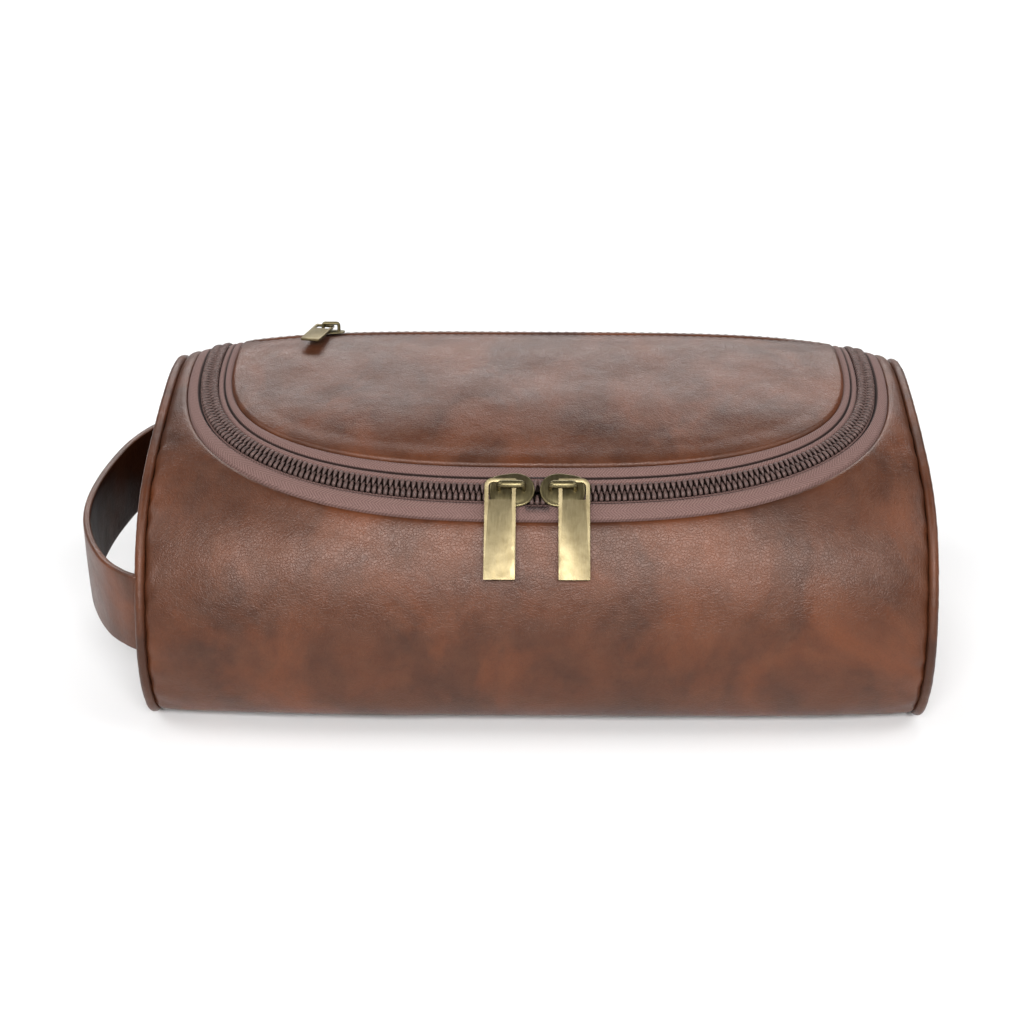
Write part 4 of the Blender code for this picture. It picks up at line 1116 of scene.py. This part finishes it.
def make_lining():
    planes = wrap_planes(-0.0006, 0.1272, 40, 90, 14, 96)

    def height(plane):
        distance = body_edge(plane)
        slack = smooth(0.004, 0.020, distance)
        fold = 0.0006 * wander(plane, 0.020, 12.0) + 0.0004 * wander(plane, 0.009, 21.0)
        return -0.0021 - 0.0013 * smooth(0.0, 0.006, distance) + slack * fold

    cloth = sheet_object("body_cloth", planes, height)
    cloth.data.flip_normals()
    dress(cloth, LINING, "root", "lining_fabric", "body_lining")

    plane = lid_plane(-0.0008, LID_CLOTH_GIRTH, 110, 60)

    def lid_cloth_height(plane):
        beside = np.minimum(lid_edge(plane), LID_CLOTH_GIRTH - plane[..., 1])
        slack = smooth(0.003, 0.020, beside)
        fold = 0.0007 * wander(plane, 0.024, 30.0) + 0.0004 * wander(plane, 0.010, 33.0)
        return -0.0024 - 0.0022 * smooth(0.0, 0.009, beside) + slack * fold

    cloth = sheet_object("lid_cloth", [plane], lid_cloth_height)
    cloth.data.flip_normals()
    dress(cloth, LINING, "lid", "lining_fabric", "lid_lining")

    girths = np.linspace(HINGE_GIRTH - STRIP_HALF, HINGE_GIRTH + STRIP_HALF, 15)
    plane = np.stack(np.meshgrid(np.linspace(-STRIP_X, STRIP_X, 121), girths), -1)

    def strip_height(plane):
        across = np.abs(plane[..., 1] - HINGE_GIRTH) / STRIP_HALF
        ripple = 0.0002 * np.sin(plane[..., 0] / 0.0028) * (1 - across)
        return -0.0034 + 0.0006 * smooth(0.75, 1.0, across) - ripple

    strip = sheet_object("hinge_binding", [plane], strip_height)
    strip.data.flip_normals()
    dress(strip, BINDING, None, "binding_tape", "hinge_tape")
    blend_hinge(strip)
    for node, look in (("lid_pocket_sheet", LINING), ("base_board", BINDING)):
        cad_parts[node].data.materials.clear()
        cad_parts[node].data.materials.append(look)


# ---------------------------------------------------------------- wrist strap
STRAP_ROUTE = (
    (-0.1311, -0.0589), (-0.1322, -0.0588), (-0.1360, -0.0564), (-0.1425, -0.0500), (-0.1482, -0.0405),
    (-0.1530, -0.0290), (-0.1562, -0.0165), (-0.1575, -0.0030), (-0.1570, 0.0120), (-0.1550, 0.0270),
    (-0.1518, 0.0410), (-0.1460, 0.0540), (-0.1395, 0.0600), (-0.1322, 0.0612), (-0.1311, 0.0613),
)
STRAP_HALF_THICK = 0.00125
STRAP_INNER_SHADE_TURNS = (1.04, 1.93)  # the inner face, in strap widths round the section


def smooth_route(points, steps):
    points = [Vector((x, y, 0)) for x, y in points]
    padded = [2 * points[0] - points[1], *points, 2 * points[-1] - points[-2]]
    route = []
    for a, b, c, d in zip(padded, padded[1:], padded[2:], padded[3:]):
        for k in range(steps):
            f = k / steps
            bend = (2 * a - 5 * b + 4 * c - d) * f**2 + (3 * b - a - 3 * c + d) * f**3
            route.append(b + 0.5 * ((c - a) * f + bend))
    return route + [points[-1]]


def strap_section():
    """Two layers of leather with rounded edges, glued together: a fine groove runs along each edge."""
    half, thick = STRAP_WIDTH / 2, STRAP_HALF_THICK
    flat = np.linspace(-half + 0.0010, half - 0.0010, 13)
    crown = [(a, thick + 0.00018 * (1 - (a / half) ** 2)) for a in flat]
    corner = [(half - 0.0005, thick * 0.93), (half - 0.0001, thick * 0.62), (half, thick * 0.28)]
    edge = corner + [(half - 0.00025, 0.0)] + [(a, -b) for a, b in corner[::-1]]
    under = [(a, -b) for a, b in crown[::-1]]
    far = [(-a, -b) for a, b in edge]
    return crown + edge + under + far


def make_strap():
    route = smooth_route(STRAP_ROUTE, 12)
    path = []
    for before, point, after in zip([route[0]] + route, route, route[1:] + [route[-1]]):
        along = (after - before).normalized()
        out = (-along.y, along.x, 0.0)
        path.append(((point.x, point.y, STRAP_MIDDLE_Z), (0.0, 0.0, 1.0), out))
    strap = tube("wrist_strap_leather", path, [strap_section()] * len(path))
    dress(strap, (STRAP_LEATHER, STRAP_INNER_SHADE), None, "leather", "wrist_strap")
    # faces on the loop's inner side take the darkened leather, painted shade
    for face in strap.data.polygons:
        turn = strap.data.uv_layers[0].data[face.loop_start].uv.y / STRAP_WIDTH
        face.material_index = int(STRAP_INNER_SHADE_TURNS[0] < turn < STRAP_INNER_SHADE_TURNS[1])
    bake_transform(strap)


# ---------------------------------------------------------------- camera, light and floor
FRONT_WATTS, BACK_WATTS, SIDE_WATTS, WORLD_STRENGTH = 41.0, 32.0, 17.0, 0.09
FLOOR_COLOUR = (0.90, 0.90, 0.90)
CAMERA_PLACE = (0.0, -0.5925, 0.3656)
CAMERA_TILT, CAMERA_ROLL = 28.0, 0.31
CAMERA_LENS, CAMERA_SHIFT = 66.2, -0.0245


def make_stage():
    camera = bpy.data.objects.new("camera", bpy.data.cameras.new("camera"))
    bpy.context.scene.collection.objects.link(camera)
    camera.data.lens, camera.data.shift_x = CAMERA_LENS, CAMERA_SHIFT
    tilt = Matrix.Rotation(math.radians(90 - CAMERA_TILT), 4, "X")
    roll = Matrix.Rotation(math.radians(CAMERA_ROLL), 4, "Z")
    camera.matrix_world = Matrix.Translation(CAMERA_PLACE) @ tilt @ roll
    bpy.context.scene.camera = camera

    ground = bmesh.new()
    bmesh.ops.create_grid(ground, x_segments=1, y_segments=1, size=6.0)
    floor = finished("floor", ground, smooth_faces=False)
    paint = Graph("floor_paint")
    paint.finish(Base_Color=FLOOR_COLOUR, Roughness=0.9, Specular_IOR_Level=0.1)
    floor.data.materials.append(paint.material)

    def softbox(name, place, size, watts):
        light = bpy.data.lights.new(name, "AREA")
        light.shape, light.size, light.size_y = "RECTANGLE", *size
        light.energy = watts
        lamp = bpy.data.objects.new(name, light)
        bpy.context.scene.collection.objects.link(lamp)
        lamp.location = place
        lamp.rotation_euler = (Vector(BAG_MIDDLE) - Vector(place)).to_track_quat("-Z", "Y").to_euler()

    softbox("front_softbox", (0.0, -1.55, 1.15), (1.5, 0.45), FRONT_WATTS)
    softbox("back_softbox", (0.0, 1.95, 1.20), (2.4, 0.6), BACK_WATTS)
    for side in (-1, 1):
        softbox("side_softbox", (side * 1.6, -0.30, 1.55), (1.2, 1.2), SIDE_WATTS)
    world = bpy.data.worlds.new("studio")
    world.use_nodes = True
    background = world.node_tree.nodes["Background"]
    background.inputs["Color"].default_value = (1, 1, 1, 1)
    background.inputs["Strength"].default_value = WORLD_STRENGTH
    bpy.context.scene.world = world
    bpy.context.scene.view_settings.view_transform = "Standard"


make_stage()
make_wrap()
make_lid()
make_main_zipper()
make_metal()
make_pocket()
make_stitches()
for side, name in ((-1, "left"), (1, "right")):
    make_piping(side, name)
    make_end(side, name)
make_lining()
make_strap()
